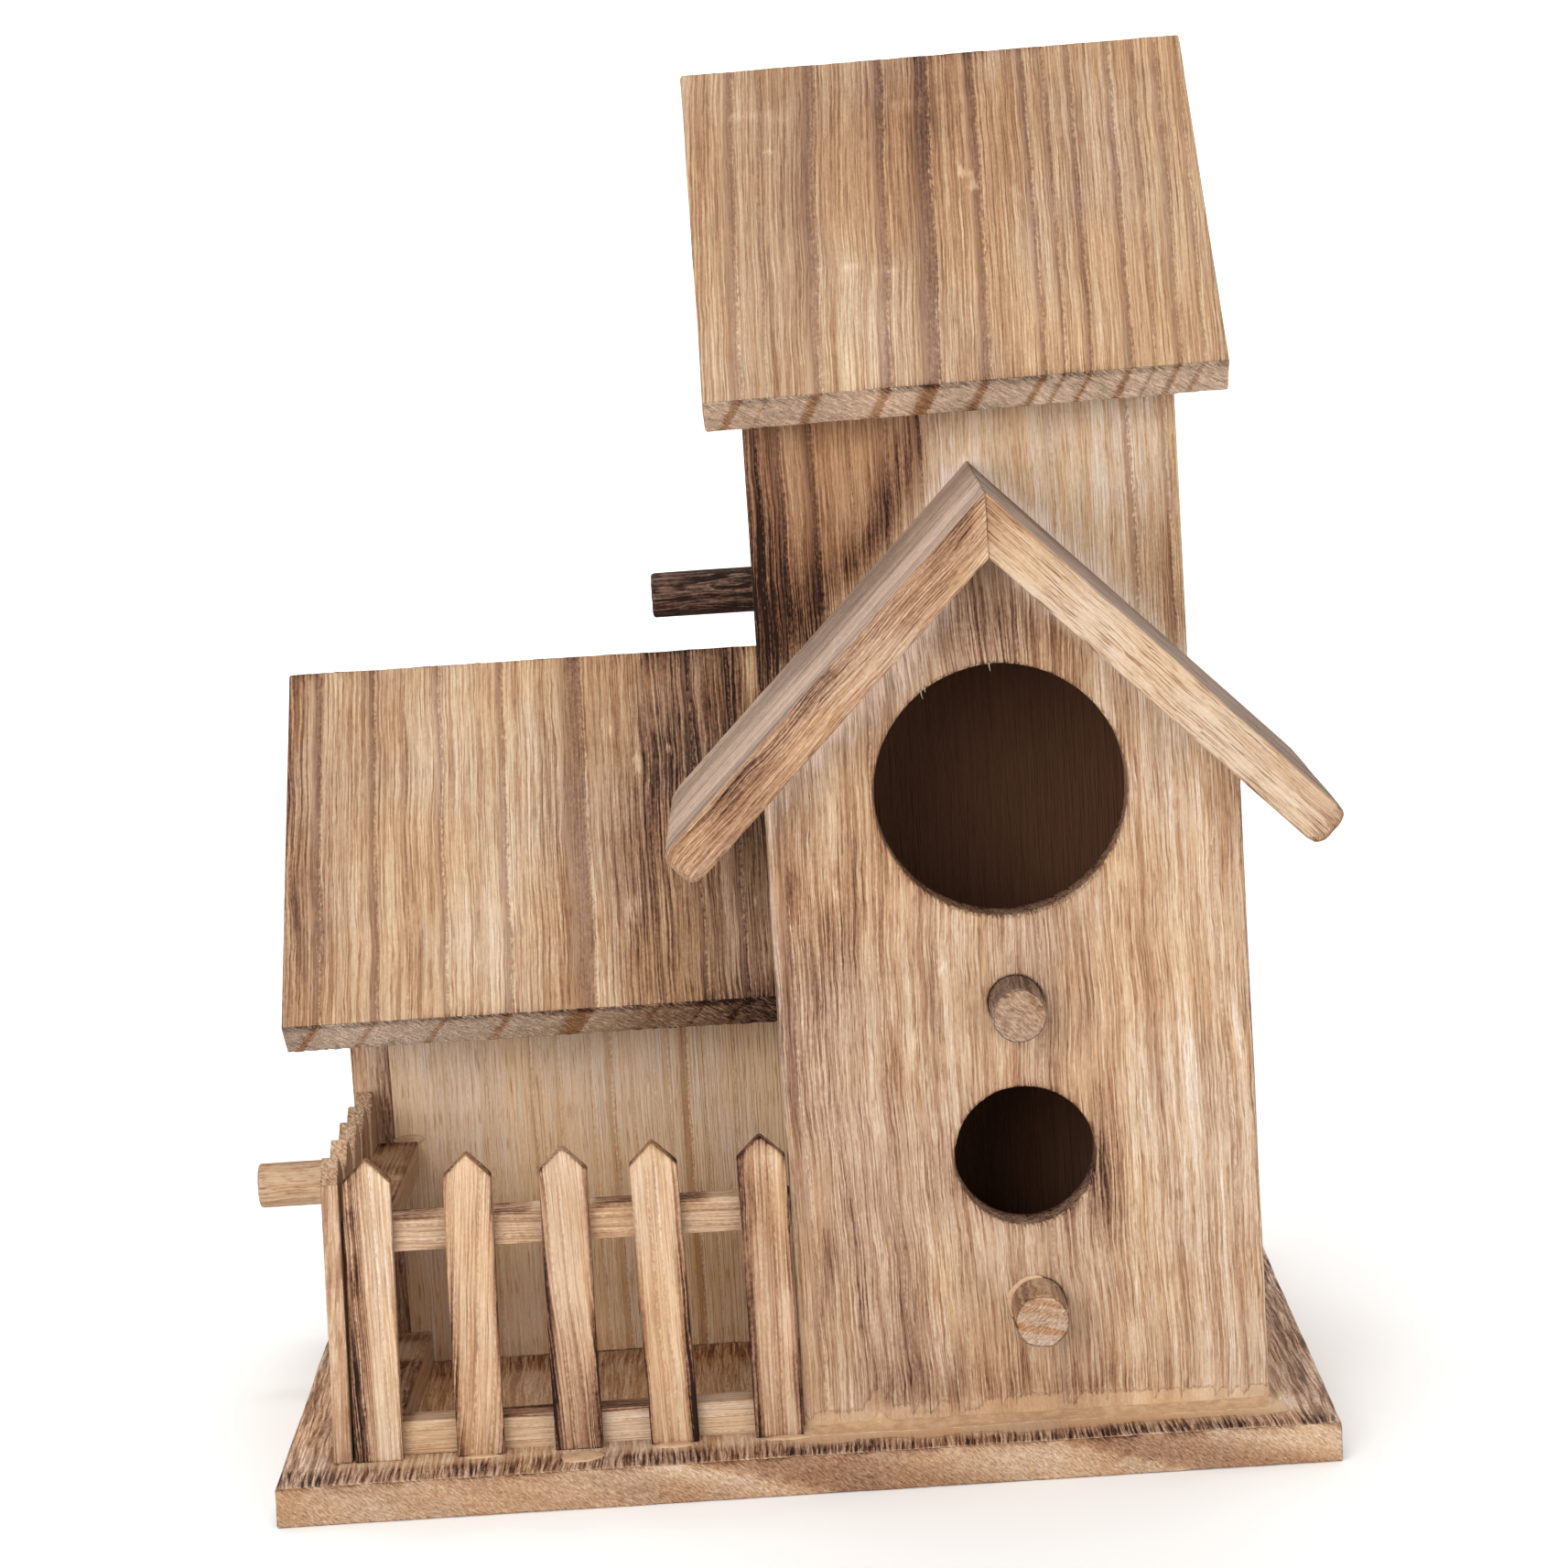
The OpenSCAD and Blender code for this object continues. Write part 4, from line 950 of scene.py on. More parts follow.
def fw_grey(p):
    g = 0.95 * np.minimum(fw_dust(p) * 1.6, 1)
    g += 0.12 * blob(p.a, p.z, 40, 150, 8, 8) + 0.3 * blob(p.a, p.z, 12, 50, 6, 40) * p.mid
    g += 0.8 * np.exp(-(p.a / 1.0) ** 2) * sm(p.z, 60, 72) * (1 - sm(p.z, 108, 114))
    return g


def fw_glue(p):
    foot = 8.6 + 1.2 * vnoise(p.a * 0.12, 3.0, 1.0, 77) + 1.8 * vnoise(p.a * 0.8, 3.0, 1.0, 76) + 3.5 * np.exp(-((p.a - 13.5) / 1.8) ** 2)
    ring = 0.7 * rim(p, 43.2, 27.9, 4.9, 0.9) * (p.x < 43.5)
    return ((1 - sm(p.z, foot, foot + 0.7)) * 0.85 + ring) * p.face


paint("front_house_front_wall", wood("front_wall_wood", 84.6, [(4.2, 1.4, 0.5, 1), (47.5, 0.8, 0.4, 1), (30.0, 0.8, 0.3, 1), (80.5, 0.6, 0.4, 1), (20.5, 0.7, 0.3, 1)],
                                     level=170, slant_b=0.012, slant_c=-0.3, line=33, fine=30, dash=24, pitch=0.88, wob=0.14, long=1.25, warp=0.9, blotch=11, isle=0.6, broad=14,
                                     coolness=0.5),
      burn_and_shade=fw_burn_and_inner_shade, tn=fw_tone, gr=fw_grey, dk=inside, gl=fw_glue, il=fw_marks)
side_bands = [(6, 1.2, .7, 1), (15, 1.5, .8, 1), (24, 1.0, .6, 1), (36, 1.8, .9, 1)]
# inner_face darkens the insides of these walls with painted shade
for nm in ("front_house_left_wall", "front_house_right_wall"):
    paint(nm, wood(nm + "_wood", 44.8, side_bands, level=168, slant_c=-0.3, line=28, fine=26, pitch=0.9, broad=12),
          burn_and_shade=lambda p: (edge_burn(p, 1.5, 0.40) + 0.26 * sm(p.low, 0.5, 0.8)) * (p.c > 0.6) + inner_face(p), dk=inside)


# gable roof boards: the tops are grey, the front edges show long grain
def gl_burn(p):
    front = 1 - sm(p.a, 0.3, 1.0)
    wav = 1.6 * (p.mid - 0.5)
    f = front * (0.26 * blob(p.b, p.c + wav, 40, 7.0, 32, 1.7) + 0.24 * blob(p.b, p.c, 70, 5, 14, 4) * (1 - 0.9 * blob(p.b, p.c, 79, 4.5, 5, 2)) + 0.03 + 0.16 * sm(p.mid, 0.5, 0.8))
    f += front * 0.20 * np.exp(-((p.b - 3.5) / 2.5) ** 2) * sm(p.hi, 0.2, 0.7)
    f += (1 - front) * p.face * (0.04 + 0.16 * sm(p.low, 0.5, 0.8) + 0.22 * bell(p.a, 2.6 + 1.2 * p.low, 1.1) * sm(p.b, 18, 40))
    f += 0.12 * np.exp(-p.edge / 0.8) * sm(p.mid, 0.4, 0.8)
    return f


def gr_burn(p):
    front = 1 - sm(p.a, 0.3, 1.0)
    f = front * (0.05 * sm(p.mid, 0.55, 0.8) + 0.16 * np.exp(-(p.edge / 0.5) ** 2) * sm(p.low, 0.3, 0.6))
    f += front * 0.10 * np.exp(-((p.b - 3.5) / 3.0) ** 2) + front * 0.16 * sm(p.hi, 0.62, 0.8) * (blob(p.b, p.c, 36, 2.2, 9, 1.8) + blob(p.b, p.c, 70, 1.8, 8, 1.5))
    f += (1 - front) * p.face * (0.08 + 0.24 * sm(p.low, 0.5, 0.8))
    f += 0.20 * blob(p.b, p.c, 84, 3, 3, 5)
    return f


def gl_tone(p):
    front = 1 - sm(p.a, 0.3, 1.0)
    t = front * (32 * blob(p.b, p.c, 79, 4.5, 4.5, 1.8) + 18 * blob(p.b, p.c, 44, 2.8, 24, 2.0) + 8 * np.exp(-p.edge / 0.3) + 16 * np.exp(-np.maximum(p.b - p.v0, 0) / 2.5))
    top = p.face * (1 - front)
    t += top * (30 + 16 * sm(p.a, 60, 67) - 12 * bell(p.a, 6.0, 5.0) + 8 * bell(p.a, 22, 8) - 9 * bell(p.a, 45, 8))
    return t


def gr_tone(p):
    front = 1 - sm(p.a, 0.3, 1.0)
    return front * (28 + 9 * blob(p.b, p.c, 34, 4, 24, 3) - 10 * blob(p.b, p.c, 3, 4, 6, 6) - 14 * np.exp(-np.maximum(p.b - p.v0, 0) / 2.5)) + p.face * (1 - front) * 8


for nm, fn, tone, lv in (("gable_roof_left_board", gl_burn, gl_tone, 160), ("gable_roof_right_board", gr_burn, gr_tone, 162)):
    paint(nm, wood(nm + "_wood", 68.8, [(5, 0.7, .5, 1), (11, 1.2, .5, 1), (20, 1.0, .6, 1), (31, 1.6, .7, 1), (44, 1.1, .6, 1), (58, 1.3, .6, 1)], level=lv, thick=GABLE_T,
                   slant_c=1.0, line=13 if lv > 160 else 30, fine=10 if lv > 160 else 24, dash=58 if lv > 160 else 32, speck=26 if lv > 160 else 42, pitch=0.66, wob=0.12, long=2.6 if lv > 160 else 1.4, end_level=165,
                   blotch=9, isle=0.6, broad=8, warp=0.2, tint=(0.955, 0.97, 0.985) if lv > 160 else (1.0, 1.0, 1.0), coolness=0.5),
          burn_and_shade=fn, tn=tone, gr=lambda p: 1.05 * p.face * sm(p.a, 0.2, 0.9) * (0.75 + 0.4 * p.mid))

# tower walls
tf_bands = [(2.2, 0.9, 0.9, 1), (6.2, 1.4, 0.8, 1), (12.2, 1.6, 0.9, 1), (19.5, 0.6, 0.4, 1), (26.0, 1.2, 0.5, 1), (32.5, 1.2, 0.7, 1), (57, 0.8, 0.35, 1), (71.8, 1.0, 1.1, 1), (78.6, 1.0, 0.7, 1)]


def tf_burn_and_inner_shade(p):
    f = 0.12 * (1 - sm(p.a, 1, 8)) + 0.88 * blob(p.a, p.z, 0.5, 143, 7.5, 21) + 0.10 * (1 - sm(p.a, 10, 24)) + 0.35 * (1 - sm(p.a, 0.4, 1.2))
    f += 0.46 * blob(p.a, p.z, 11.5, 147, 4.5, 14) + 0.22 * blob(p.a, p.z, 3, 170, 3, 12)
    f += 0.50 * blob(p.a - 0.42 * (p.z - 172), p.z, 27.5, 174, 3.8, 13) + 0.40 * blob(p.a - 0.8 * (p.z - 160), p.z, 21.0, 160, 4.5, 7)
    f += 0.28 * blob(p.a, p.z, 78.5, 150, 4, 18) + 0.10 * blob(p.a, p.z, 74, 160, 3, 14)
    f += 0.06 * sm(p.low, 0.55, 0.85) * (p.a > 40) + 0.10 * (p.z < 120)
    # painted shade: below the gable roof line this wall is inside the front house, so it is darkened like the shade in
    # there; inner_face adds painted shade on its inner face
    within = sm(RIDGE_Z - np.abs(p.x - RIDGE_X) - p.z, 2, 8)
    return (f * (1 - within) + 0.62 * within) * (p.c > 0.6) + inner_face(p)


def tf_dust(p):
    d = (p.z - (RIDGE_Z - np.abs(p.x - RIDGE_X))) * SQ          # distance above the gable roof
    hair = vnoise(p.a * 1.0, p.z * 0.16, 1.0, 79)
    left = np.exp(-(np.maximum(d, 0) / (1.4 + 4.0 * hair * sm(RIDGE_X - p.x, 2, 14))) ** 1.5) * (0.5 + 0.6 * hair) * (p.x < RIDGE_X)
    rgt = 0.75 * np.exp(-np.maximum(d, 0) / 1.5) * (p.x >= RIDGE_X)
    return (left + rgt) * p.face * (d > -2)


def tf_tone(p):
    return -9 + 42 * sm(p.a + 1.5 * (p.mid - 0.5), 32, 37) + 4 * sm(p.a, 44, 66) + 54 * tf_dust(p) - 10 * blob(p.a, p.z, 76, 158, 3, 16) + 8 * blob(p.a, p.z, 16, 176, 5, 10)


# painted shade mask: the inner face, and the part of this wall inside the front house, take the dark interior colour
def tf_dark(p):
    return np.maximum(inside(p), sm(RIDGE_Z - np.abs(p.x - RIDGE_X) - p.z, 1, 4))


paint("tower_front_wall", wood("tower_front_wood", 81.1, tf_bands, level=165, slant_b=0.0, slant_c=-0.3, line=26, fine=24, dash=22, pitch=0.88, wob=0.12, long=1.6, flame=0.3, broad=9,
                               wander=0.3, tint=(1.02, 0.995, 0.95), coolness=0.5),
      burn_and_shade=tf_burn_and_inner_shade, tn=tf_tone, gr=lambda p: 0.35 * np.minimum(tf_dust(p) * 1.5, 1), dk=tf_dark, wm=lambda p: 0.5 * (1 - sm(p.a, 30, 37)))
# inner_face darkens the insides of the tower walls with painted shade
for nm, sh in (("tower_left_wall", 0.30), ("tower_right_wall", 0.0), ("tower_back_wall", 0.0)):
    paint(nm, wood(nm + "_wood", BOARDS[nm].width, [(5, 1.4, .8, 1), (14, 1.0, .7, 1), (23, 1.8, .9, 1), (35, 1.2, .8, 1), (46, 1.4, .8, 1), (60, 1.8, .9, 1), (73, 1.2, .7, 1)],
                   level=168, slant_c=-0.3, slant_b=0.015, line=28, fine=26, pitch=0.92, long=1.2, broad=10),
          burn_and_shade=lambda p, sh=sh: (edge_burn(p, 2.0, 0.45) + sh * sm(p.low + 0.3 * p.mid, 0.35, 0.8) + 0.26 * sm(p.low, 0.5, 0.8)) * (p.c > 0.6) + inner_face(p), dk=inside)

# annex walls
# painted light: the panel is given a high level, its lower part is made lighter (tn) and warmer (wm), and the whole
# board a warm tint, standing in for light under the eave and warm light bounced behind the fence; inner_face adds
# painted shade on its inside
paint("annex_front_panel", wood("annex_panel_wood", 75.9, [(10.2, .5, .5, 1), (14, .3, .3, 1), (18, .5, .45, 1), (26.8, .6, .6, 1), (28.6, .4, .4, 1), (32, .9, .5, 1), (38.2, .4, .5, 1),
                                                           (42.2, 1.2, .7, 1), (46.5, .4, .35, 1), (51.2, .4, .4, 1), (53.8, .5, .5, 1), (56.9, 1.2, 1.15, 1), (60.5, .5, .5, 1), (66.2, .5, .5, 1),
                                                           (70, .4, .4, 1)],
                                level=210, slant_c=-0.3, line=10, fine=10, dash=36, pitch=1.0, wob=0.12, long=2.4, blotch=4, dash_cut=(0.62, 0.74), isle=0.2, band_dark=42, broad=2,
                                           speck=22, wander=0.3, tint=(1.035, 1.0, 0.95), coolness=0.0),
      burn_and_shade=lambda p: inner_face(p) + 0.10 * (1 - sm(p.z, 8, 12)), tn=lambda p: 5 * (1 - sm(p.z, 20, 52)), dk=inside, wm=lambda p: 1.0 - 0.8 * sm(p.z, 24, 62))
# inner_face darkens this wall's inside with painted shade
paint("annex_left_wall", wood("annex_wall_wood", 50, [(9, 1.2, .7, 1), (20, 0.8, .6, 1), (31, 1.6, .8, 1), (42, 1.0, .6, 1)], level=178, slant_c=-0.4, line=22, fine=20, dash=26),
      burn_and_shade=lambda p: (0.34 * (1 - sm(p.c, 1.9, 2.3)) * (p.a < 0.6) + (edge_burn(p, 1.5, 0.30) + 0.25 * sm(p.low, 0.55, 0.85)) * p.face) * (p.c > 0.02) + inner_face(p) * (p.a > 0.7),
      dk=lambda p: inside(p) * (p.a > 7.0))
# inner_face darkens this panel's inside with painted shade
paint("annex_back_panel", wood("annex_back_wood", 75.9, [(12, 0.8, .5, 1), (28, 1.2, .7, 1), (45, 0.8, .6, 1), (61, 1.4, .7, 1)], level=174, slant_c=-0.3, line=20, fine=16, dash=28),
      burn_and_shade=lambda p: (edge_burn(p, 1.5, 0.35) + 0.2 * sm(p.low, 0.55, 0.85)) * (p.c > 0.6) + inner_face(p), dk=inside)


# base board
def bb_glue(p):
    """The smooth smear of glue and dust in front of the wall's foot."""
    toe = 6.4 + 1.2 * vnoise(p.a * 0.12, 1.0, 1.0, 81)
    return sm(p.b, toe, toe + 0.9) * (1 - sm(p.b, 15.0, 17.0)) * sm(p.a, 90, 94) * (1 - sm(p.a, 180, 183)) * (1 - p.eg)


def bb_burn(p):
    side = 1 - p.eg
    reach = 8.2 + 3.0 * (p.mid - 0.5) - 1.8 * sm(p.a, 86, 94)
    comb = (1 - sm(p.b, reach - 0.6, reach + 1.6)) * sm(p.b, 0.5, 1.7)
    f = side * comb * (0.30 + 0.18 * sm(p.low, 0.35, 0.75)) + side * 0.10 * (1 - sm(p.b, 0.5, 1.6))
    f += side * 0.22 * sm(p.b, 0.5, 1.2) * (1 - sm(p.b, 2.0, 5.0)) * sm(p.a, 55, 85) * (0.5 + p.low)
    f += 0.16 * np.exp(-p.edge / 0.8) * (0.4 + p.mid) * side * (p.b > 1.5)
    f += 0.24 * side * sm(p.b, 64, 67) * (1 - sm(p.b, 75, 77)) * sm(p.a, 10, 14) * (1 - sm(p.a, 93, 95))
    f += 0.20 * side * sm(p.b, 80, 100) * sm(p.low, 0.4, 0.7)
    f += side * (0.17 * sm(p.a, 181, 185) + 0.16 * (1 - sm(p.a, 8, 13)))
    f += p.eg * (0.42 * sm(p.c, 6.2, 7.2) * sm(p.mid + 0.25 * p.hi, 0.3, 0.8) + 0.10 * sm(p.low, 0.5, 0.8))
    return f * (1 - bb_glue(p))


def bb_tone(p):
    t = p.a + 3.4 * (p.c - 7.2)
    f = 13 * bell(t, 69, 6) - 17 * sm(t, 75, 77) * (1 - sm(t, 96, 114)) + 8 * bell(t, 128, 11) - 17 * sm(t, 139, 141) * (1 - sm(t, 150, 170)) + 14 * sm(t, 160, 174) * (1 - sm(t, 184.5, 187)) - 10 * sm(t, 186, 188)
    f -= 7 * bell(t, 50, 3) + 6 * bell(t, 30, 3) + 6 * bell(t, 12, 4)
    f *= 1.9
    lip = 14 * (1 - sm(p.b, 0.4, 0.9))
    return f * p.eg * (p.b < 20) + (1 - p.eg) * (12 * sm(p.b, 9, 11) + 10 * bb_glue(p) - 4 * (1 - sm(p.b, 6, 9)) + lip)


paint("base_board", wood("base_wood", 190, [(20, 1.2, .3, 1), (41, 1.0, .35, 1), (74, 1.0, .5, 1), (98, 1.0, .3, 1), (140, 1.2, .5, 1), (187, 1.0, .5, 1)],
                         level=175, thick=BASE_T, slant_c=3.4, slant_b=0.02, line=38, fine=26, dash=20, pitch=1.35, wob=0.08, long=0.7, blotch=10, end_level=173, band_end=16, isle=0.3, flame=0.15, wiggle=0.2,
                         tint=(1.03, 0.99, 0.965), comb=0.5, coolness=0.5),
      burn_and_shade=bb_burn, tn=bb_tone, gr=lambda p: (1 - p.eg) * (0.5 * (1 - sm(p.a, 7, 12)) + 0.5 * sm(p.a, 182, 186) + 0.35 * (1 - sm(p.b, 6, 9)) * sm(p.low, 0.3, 0.6)), gl=bb_glue,
      wm=lambda p: 0.9 * sm(p.b, 16, 22) * (1 - sm(p.b, 74, 77)) * (1 - sm(p.a, 92, 95)))


# fence: width and strength of the burnt strips down each picket's left and right edges
STRIPS = ((4.0, 0.40, 0.6, 0.14), (1.7, 0.56, 0.7, 0.36), (1.1, 0.74, 1.1, 0.52), (0.8, 0.46, 1.5, 0.92), (1.6, 0.66, 0.8, 0.40))


def picket_burn(i, side):
    def f(p):
        if side:
            out = 0.22 * np.exp(-p.edge / 0.5) * (0.3 + p.mid) + 0.10 * sm(p.low + 0.3 * p.mid, 0.5, 0.95) + 0.12 * sm(p.a, 6.8, 8.4)
            return out + 0.04 + 0.12 * np.exp(-np.maximum(p.b, 0) / 3.0)
        wl, al, wr, ar = STRIPS[i]
        low = 0.5 + 0.5 * sm(-p.b, -44, -16)
        jig = 1.3 * (p.mid - 0.5) + 0.7 * (p.hi - 0.5)
        out = al * (1 - sm(p.a + jig * min(1.0, wl * 0.4), wl * 0.35, wl * 1.35)) * (low if i < 4 else 1.0) + ar * sm(p.a + jig * 0.5, PW - wr * 1.3, PW - wr * 0.5) * low
        out = out + 0.30 * np.exp(-p.edge / 0.33) * (0.35 + p.mid) + 0.16 * (1 - p.face) * sm(p.low, 0.3, 0.7)
        out = out + 0.10 * sm(p.low + 0.3 * p.mid, 0.6, 0.95) + 0.16 * np.exp(-np.maximum(p.v1 - p.b, 0) / 0.5)
        foot = np.exp(-np.maximum(p.b, 0) / (2.0, 3.2, 6.5, 1.6, 2.0)[i])
        out = out + (0.10, 0.26, 0.30, 0.22, 0.14)[i] * foot * (0.4 + 0.9 * p.hi)
        if i == 0:
            out = out + 0.20 * (1 - sm(p.a + 1.2 * jig, 2.6, 4.2)) * (0.4 + 1.1 * p.hi) + 0.50 * blob(p.a, p.b, 0.2, 10, 1.6, 13) + 0.16 * (1 - sm(p.a + jig, 2.4, 4.4)) * sm(p.hi, 0.3, 0.7)
        if i == 1:
            swirl = 5.0 - 0.10 * (40 - p.b) + 1.0 * np.sin(p.b * 0.12)
            out = out + 0.16 * bell(p.a, swirl, 0.8) * sm(p.b, 6, 14) * (1 - sm(p.b, 36, 48))
        if i == 2:
            out = out + 0.24 * (1 - sm(p.b, 8, 30)) + 0.45 * blob(p.a, p.b, 8.4, 6, 1.6, 7)
        if i == 3:
            out = out + 0.35 * blob(p.a, p.b, 8.6, 6, 2.0, 9)
        if i == 4:
            out = out + 0.55 * blob(p.a, p.b, 4.3, 56, 4.4, 2.2) + 0.22 * blob(p.a, p.b, 2.5, 44, 2.6, 7) + 0.17 * sm(p.mid + 0.5 * p.hi, 0.55, 0.95) + 0.9 * blob(p.a, p.b, 8.7, 51.5, 0.35, 1.4) + 0.9 * blob(p.a, p.b, 8.6, 41, 0.3, 3.4)
        return out
    return f


def picket_tone(i, side):
    def f(p):
        if side:
            return 0 * p.a + 14 * (1 - sm(p.v1 - p.b, 0.0, 0.5))
        t = (6, 4, -6, 4, 0)[i] + 8 * np.exp(-np.maximum(p.v1 - p.b - 1.5, 0) / 6)
        if i == 0:
            t = t + 10 * sm(p.a, 4, 5.5)
        return t * p.face
    return f


for side in (False, True):
    for i in range(5):
        nm = ("side_picket_%d" if side else "front_picket_%d") % (i + 1)
        paint(nm, wood(nm + "_wood", PW, [(2.2 + 0.5 * i, 0.4, 0.5, 1), (6.4 - 0.4 * i, 0.5, 0.4, -1)], level=176 if side else (190, 191, 188, 190, 186)[i], thick=PT,
                       slant_b=(0.03, -0.07, 0.05, 0.02, -0.02)[i], slant_c=0.3 + 0.1 * i, line=24, fine=14, dash=14, pitch=0.72 + 0.05 * i, wob=0.15, long=2.4, end_level=172, blotch=14,
                       isle=0.6 if i == 4 else 0.4, flame=0.4, broad=7, wander=0.3, wiggle=0.25, speck=24, tint=(1.03, 0.995, 0.955), coolness=0.1),
              burn_and_shade=picket_burn(i, side), tn=picket_tone(i, side))


def rail_burn(p):
    f = 0.30 * np.exp(-p.edge / 0.45) * sm(p.mid, 0.2, 0.7) + 0.24 * sm(p.low + 0.2 * p.mid, 0.62, 0.85) + 0.10 * p.eg
    return 0.8 * f + 0.58 * sm(p.a, 5.4, 6.1) * sm(vnoise(p.b * 0.16, 1.0, 1.0, p.seed), 0.25, 0.5) * (0.5 + p.mid)


for nm in ("front_rail_top", "front_rail_bottom", "side_rail_top", "side_rail_bottom"):
    paint(nm, wood(nm + "_wood", 6.3, [(1.6, 0.5, 0.4, 1), (4.6, 0.4, 0.35, 1)], level=198, thick=6.0, slant_b=0.01, slant_c=0.3, line=16, fine=12, dash=14, pitch=0.7, wob=0.15, end_level=165,
                   long=2.4, broad=5, wiggle=0.25, flame=0.3, tint=(1.03, 0.995, 0.955), coolness=0.3), burn_and_shade=rail_burn)

# dowels
paint("upper_front_perch", wood("upper_perch_wood", 9.8, [(-3.6, 0.4, .4, 1), (3.4, 0.4, .4, 1)], level=150, thick=0, slant_c=0.4, line=22, fine=18, end_level=166, wob=0.8, speck=22),
      burn_and_shade=lambda p: 0.04 + 0.12 * p.mid * (1 - p.eg) + 0.20 * p.eg * sm(p.hi, 0.55, 0.75) + 0.06 * (1 - p.eg) * (p.b > 0.6), gr=lambda p: 0.4 + 0.4 * (1 - p.eg))
paint("lower_front_perch", wood("lower_perch_wood", 9.8, [(-6.0, 5.0, 1.1, 1), (6.5, 4.4, 0.6, 1), (13.0, 3.4, 0.9, -1)], level=168, thick=0, slant_c=4.0, line=22, fine=20, end_level=186, wob=3.2, pitch=3.4,
                                  band_end=26, wiggle=4.0),
      burn_and_shade=lambda p: 0.04 + 0.10 * p.mid + 0.2 * np.exp(-p.edge / 0.4) * p.mid, gr=lambda p: 0.3 * p.eg)
# the tower perch is charred; gr greys it all over, a painted sheen
paint("tower_perch", wood("tower_perch_wood", 8.8, [(-2, 0.5, .6, 1), (2, 0.5, .5, 1)], level=120, thick=0, slant_c=0.4, line=30, fine=26, dash=20, end_level=110),
      burn_and_shade=lambda p: 0.42 + 0.25 * sm(p.low + 0.4 * p.mid, 0.4, 0.9) - 0.22 * sm(p.hi, 0.55, 0.9), gr=lambda p: 0.45 + 0 * p.a)
paint("annex_perch", wood("annex_perch_wood", 8.8, [(-2, 0.4, .4, 1), (2, 0.4, .4, 1)], level=186, thick=0, slant_c=0.4, line=24, fine=18, dash=30, end_level=172),
      burn_and_shade=lambda p: 0.10 * np.exp(-p.edge / 0.8))

# ------------------------------------------------------------------ glue, smears and splinters
gk = Nodes("dry_glue")
g1 = gk.noise(gk.attr("wd", True), 0.5, 3.0, 0.6)
g2 = gk.noise(gk.attr("wd", True), 2.6, 2.0, 0.6)
gcol = gk.mix(gk.levels(g1, 0.34, 0.66), lin((181, 146, 113)), lin((201, 168, 134)))
gcol = gk.mix(gk.mul(gk.levels(g2, 0.54, 0.72), 0.30), gcol, lin((156, 120, 89)))
gk.put(gk.bsdf.inputs["Base Color"], gcol)
gk.bsdf.inputs["Roughness"].default_value = 0.55
gk.bsdf.inputs["Specular IOR Level"].default_value = 0.3
gb = gk.t.nodes.new("ShaderNodeBump")
gb.inputs["Strength"].default_value = 0.5
gb.inputs["Distance"].default_value = 0.0002
gk.put(gb.inputs["Height"], g2)
gk.put(gk.bsdf.inputs["Normal"], gb.outputs[0])
fib = Nodes("wood_fibre")
fib.put(fib.bsdf.inputs["Base Color"], fib.mix(fib.noise(fib.attr("wd", True), 3.0, 2.0, 0.5), lin((206, 192, 176)), lin((176, 156, 134))))
fib.bsdf.inputs["Roughness"].default_value = 0.8
fib.bsdf.inputs["Specular IOR Level"].default_value = 0.15


def extra(name, verts, quads, mat):
    me = new_mesh(name, np.asarray(verts) * MM, quads)
    outward(me)
    wd = me.attributes.new("wd", "FLOAT_VECTOR", "POINT")
    wd.data.foreach_set("vector", np.asarray(verts, np.float32).ravel())
    me.materials.append(mat)
    ob = bpy.data.objects.new("piece_" + name, me)
    bpy.context.scene.collection.objects.link(ob)
    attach(ob, "root")
    return ob


def swept(name, rings, mat):
    """A closed skin over a list of rings, all with the same number of points."""
    rings = np.asarray(rings, float)
    k, m, _ = rings.shape
    verts = np.concatenate([rings.reshape(-1, 3), [rings[0].mean(0)], [rings[-1].mean(0)]])
    idx = np.arange(k * m).reshape(k, m)
    nxt = np.roll(idx, -1, 1)
    quads = np.stack([idx[:-1], idx[1:], nxt[1:], nxt[:-1]], -1).reshape(-1, 4)
    me = bpy.data.meshes.new(name)
    faces = [tuple(q) for q in quads] + [(k * m, nxt[0][j], idx[0][j]) for j in range(m)] + [(k * m + 1, idx[-1][j], nxt[-1][j]) for j in range(m)]
    me.from_pydata([tuple(v) for v in verts * MM], [], [tuple(int(i) for i in q) for q in faces])
    me.polygons.foreach_set("use_smooth", np.ones(len(me.polygons), bool))
    outward(me)
    wd = me.attributes.new("wd", "FLOAT_VECTOR", "POINT")
    wd.data.foreach_set("vector", verts.astype(np.float32).ravel())
    me.materials.append(mat)
    ob = bpy.data.objects.new("piece_" + name, me)
    bpy.context.scene.collection.objects.link(ob)
    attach(ob, "root")
    return ob


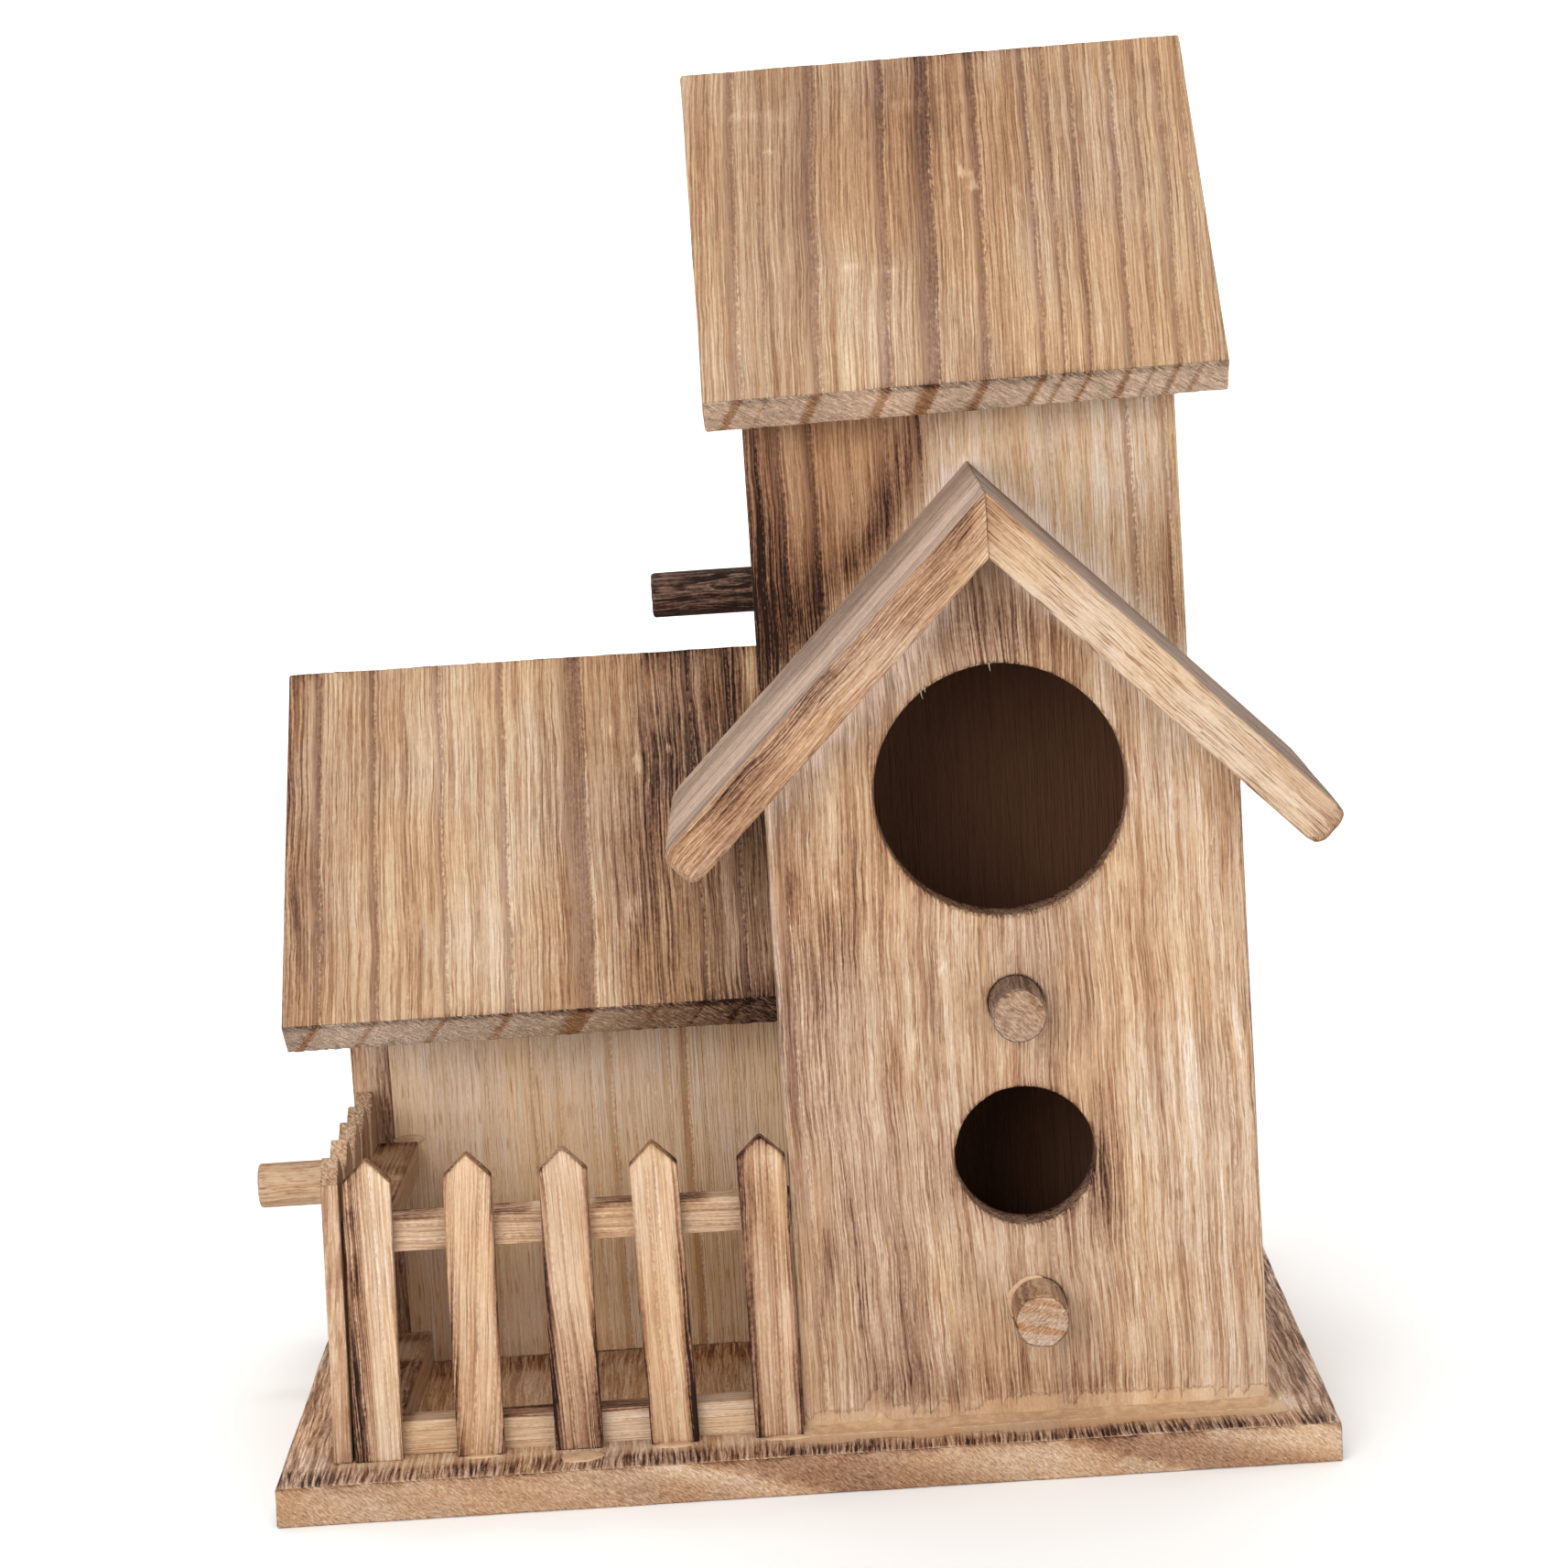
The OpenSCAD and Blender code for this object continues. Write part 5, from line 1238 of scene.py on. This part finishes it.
# the bead of glue along the foot of the front wall
rings = []
for x in np.arange(-1.9, 84.8, 0.5):
    n1, n2 = (float(vnoise(x * q, 0.5, 0.5, sd)) for q, sd in ((0.16, 601), (0.55, 602)))
    wide = 2.8 + 2.2 * n1 + 0.8 * n2
    high = 0.45 + 0.75 * float(vnoise(x * 0.3, 0.5, 0.5, 603)) + 2.0 * math.exp(-((x - 13.5) / 1.1) ** 2)
    taper = min(1.0, (x + 2.2) / 1.5, (85.2 - x) / 1.5)
    wide, high = wide * max(taper, 0.25), high * max(taper, 0.25)
    ring = [(x, HOUSE_Y + 0.6, BASE_T - 0.4), (x, HOUSE_Y + 0.6, BASE_T + high)]
    for f in np.linspace(0.0, 1.0, 9):
        lump = 0.16 * (float(vnoise(x * 0.8, f * 3, 0.5, 604)) - 0.5) * math.sin(math.pi * f)
        ring.append((x, HOUSE_Y - 0.04 - wide * f, BASE_T + 0.02 + high * (1 - f) ** 2.1 + lump + 0.10 * math.sin(math.pi * f)))
    ring.append((x, HOUSE_Y - wide, BASE_T - 0.4))
    rings.append(ring)
swept("glue_bead", rings, gk.mat)


def lump(name, c, U, V, W, ru, rv, h, seed):
    """A flattened drop; c on the surface, W out of it."""
    c, U, V, W = (np.array(q, float) for q in (c, U, V, W))
    rings, m = [], 40
    th = np.arange(m) * 2 * math.pi / m
    edge = 1 + 0.42 * (vnoise(np.cos(th) * 1.6 + 5, np.sin(th) * 1.6 + 5, 0.5, seed) - 0.5)
    for f, z in ((0.04, -0.3), (1.0, -0.3), (1.0, -0.02), (0.96, 0.34), (0.88, 0.6), (0.74, 0.82), (0.55, 0.94), (0.32, 1.0), (0.1, 1.0)):
        zz = (z * h if z > 0 else z) + (0.25 * h * (vnoise(f * np.cos(th) * 2 + 9, f * np.sin(th) * 2 + 9, 0.5, seed + 1) - 0.5) if z > 0 else 0)
        rings.append(c + np.outer(ru * f * edge * np.cos(th), U) + np.outer(rv * f * edge * np.sin(th), V) + np.outer(zz * np.ones(m), W))
    return swept(name, rings, gk.mat)


lump("glue_foot_3", (-40.6, FRONT + 8.2, BASE_T), X, Y, Z, 3.7, 3.4, 0.42, 611)
lump("glue_foot_4", (-24.0, FRONT + 11.6, BASE_T), X, Y, Z, 3.6, 1.7, 0.40, 612)
lump("glue_foot_2", (-58.4, FRONT + 12.0, BASE_T), X, Y, Z, 3.2, 0.9, 0.34, 613)
lump("glue_foot_5", (-3.4, FRONT + 11.8, BASE_T), X, Y, Z, 4.0, 1.5, 0.40, 614)
lump("glue_annex_corner", (-73.8, -0.05, 51.8), X, Z, -Y, 3.1, 1.0, 0.45, 615)
lump("glue_rail_5", (-3.0, YARD_Y - 0.1, BASE_T + 6.2), X, Y, Z, 1.8, 1.2, 0.3, 616)

# round the lower perch, on its left and top
rings = []
for t in np.linspace(math.radians(78), math.radians(205), 46):
    f = (t - math.radians(78)) / math.radians(127)
    fat = 0.10 + (0.62 + 0.5 * (float(vnoise(f * 7, 0.5, 0.5, 621)) - 0.5)) * math.sin(math.pi * f) ** 0.6
    cx, cz = 43.2 + 5.0 * math.cos(t), 27.9 + 5.0 * math.sin(t)
    ring = []
    for q in np.arange(12) * 2 * math.pi / 12:
        rr = fat * math.cos(q)
        ring.append((cx + rr * math.cos(t), HOUSE_Y - 0.02 - 0.55 * fat * math.sin(q), cz + rr * math.sin(t)))
    rings.append(ring)
swept("glue_perch", rings, gk.mat)

# torn fibres at the top rim of the large hole
for i, (x, z, dx, ln) in enumerate(((40.9, 144.85, 0.15, 1.5), (28.6, 140.7, 0.30, 1.6), (29.3, 141.1, 0.1, 0.8))):
    rings = []
    for f in np.linspace(0, 1, 9):
        w = 0.10 * (1 - f) ** 0.6 + 0.012
        cx, cy, cz = x + dx * f * f, HOUSE_Y + 0.25 - 0.5 * f, z - ln * f
        rings.append([(cx + w * math.cos(q), cy + 0.5 * w * math.sin(q), cz) for q in np.arange(6) * 2 * math.pi / 6])
    swept("fibre_%d" % (i + 1), rings, fib.mat)

# ------------------------------------------------------------------ floor
fm = Nodes("floor_paper")
fn = fm.noise(None, 60.0, 2.0, 0.5)
fm.put(fm.bsdf.inputs["Base Color"], fm.mix(fn, (0.93, 0.93, 0.925, 1), (0.95, 0.95, 0.945, 1)))
fm.bsdf.inputs["Roughness"].default_value = 0.9
me = bpy.data.meshes.new("floor")
n = 40
pts, fcs = [], []
for i in range(n + 1):
    s = i / n
    if s < 0.5:
        yy, zz = -2.5 + 9.0 * s, 0.0
    else:
        ang = (s - 0.5) * 2 * math.pi / 2
        yy, zz = 2.0 + 1.6 * math.sin(ang), 1.6 * (1 - math.cos(ang))
    pts += [(-5, yy, zz), (5, yy, zz)]
pts += [(-5, 3.6, 5.0), (5, 3.6, 5.0)]
for i in range(len(pts) // 2 - 1):
    fcs.append((2 * i, 2 * i + 1, 2 * i + 3, 2 * i + 2))
me.from_pydata(pts, [], fcs)
me.polygons.foreach_set("use_smooth", np.ones(len(fcs), bool))
me.materials.append(fm.mat)
floor = bpy.data.objects.new("floor", me)
bpy.context.scene.collection.objects.link(floor)

bpy.context.view_layer.update()
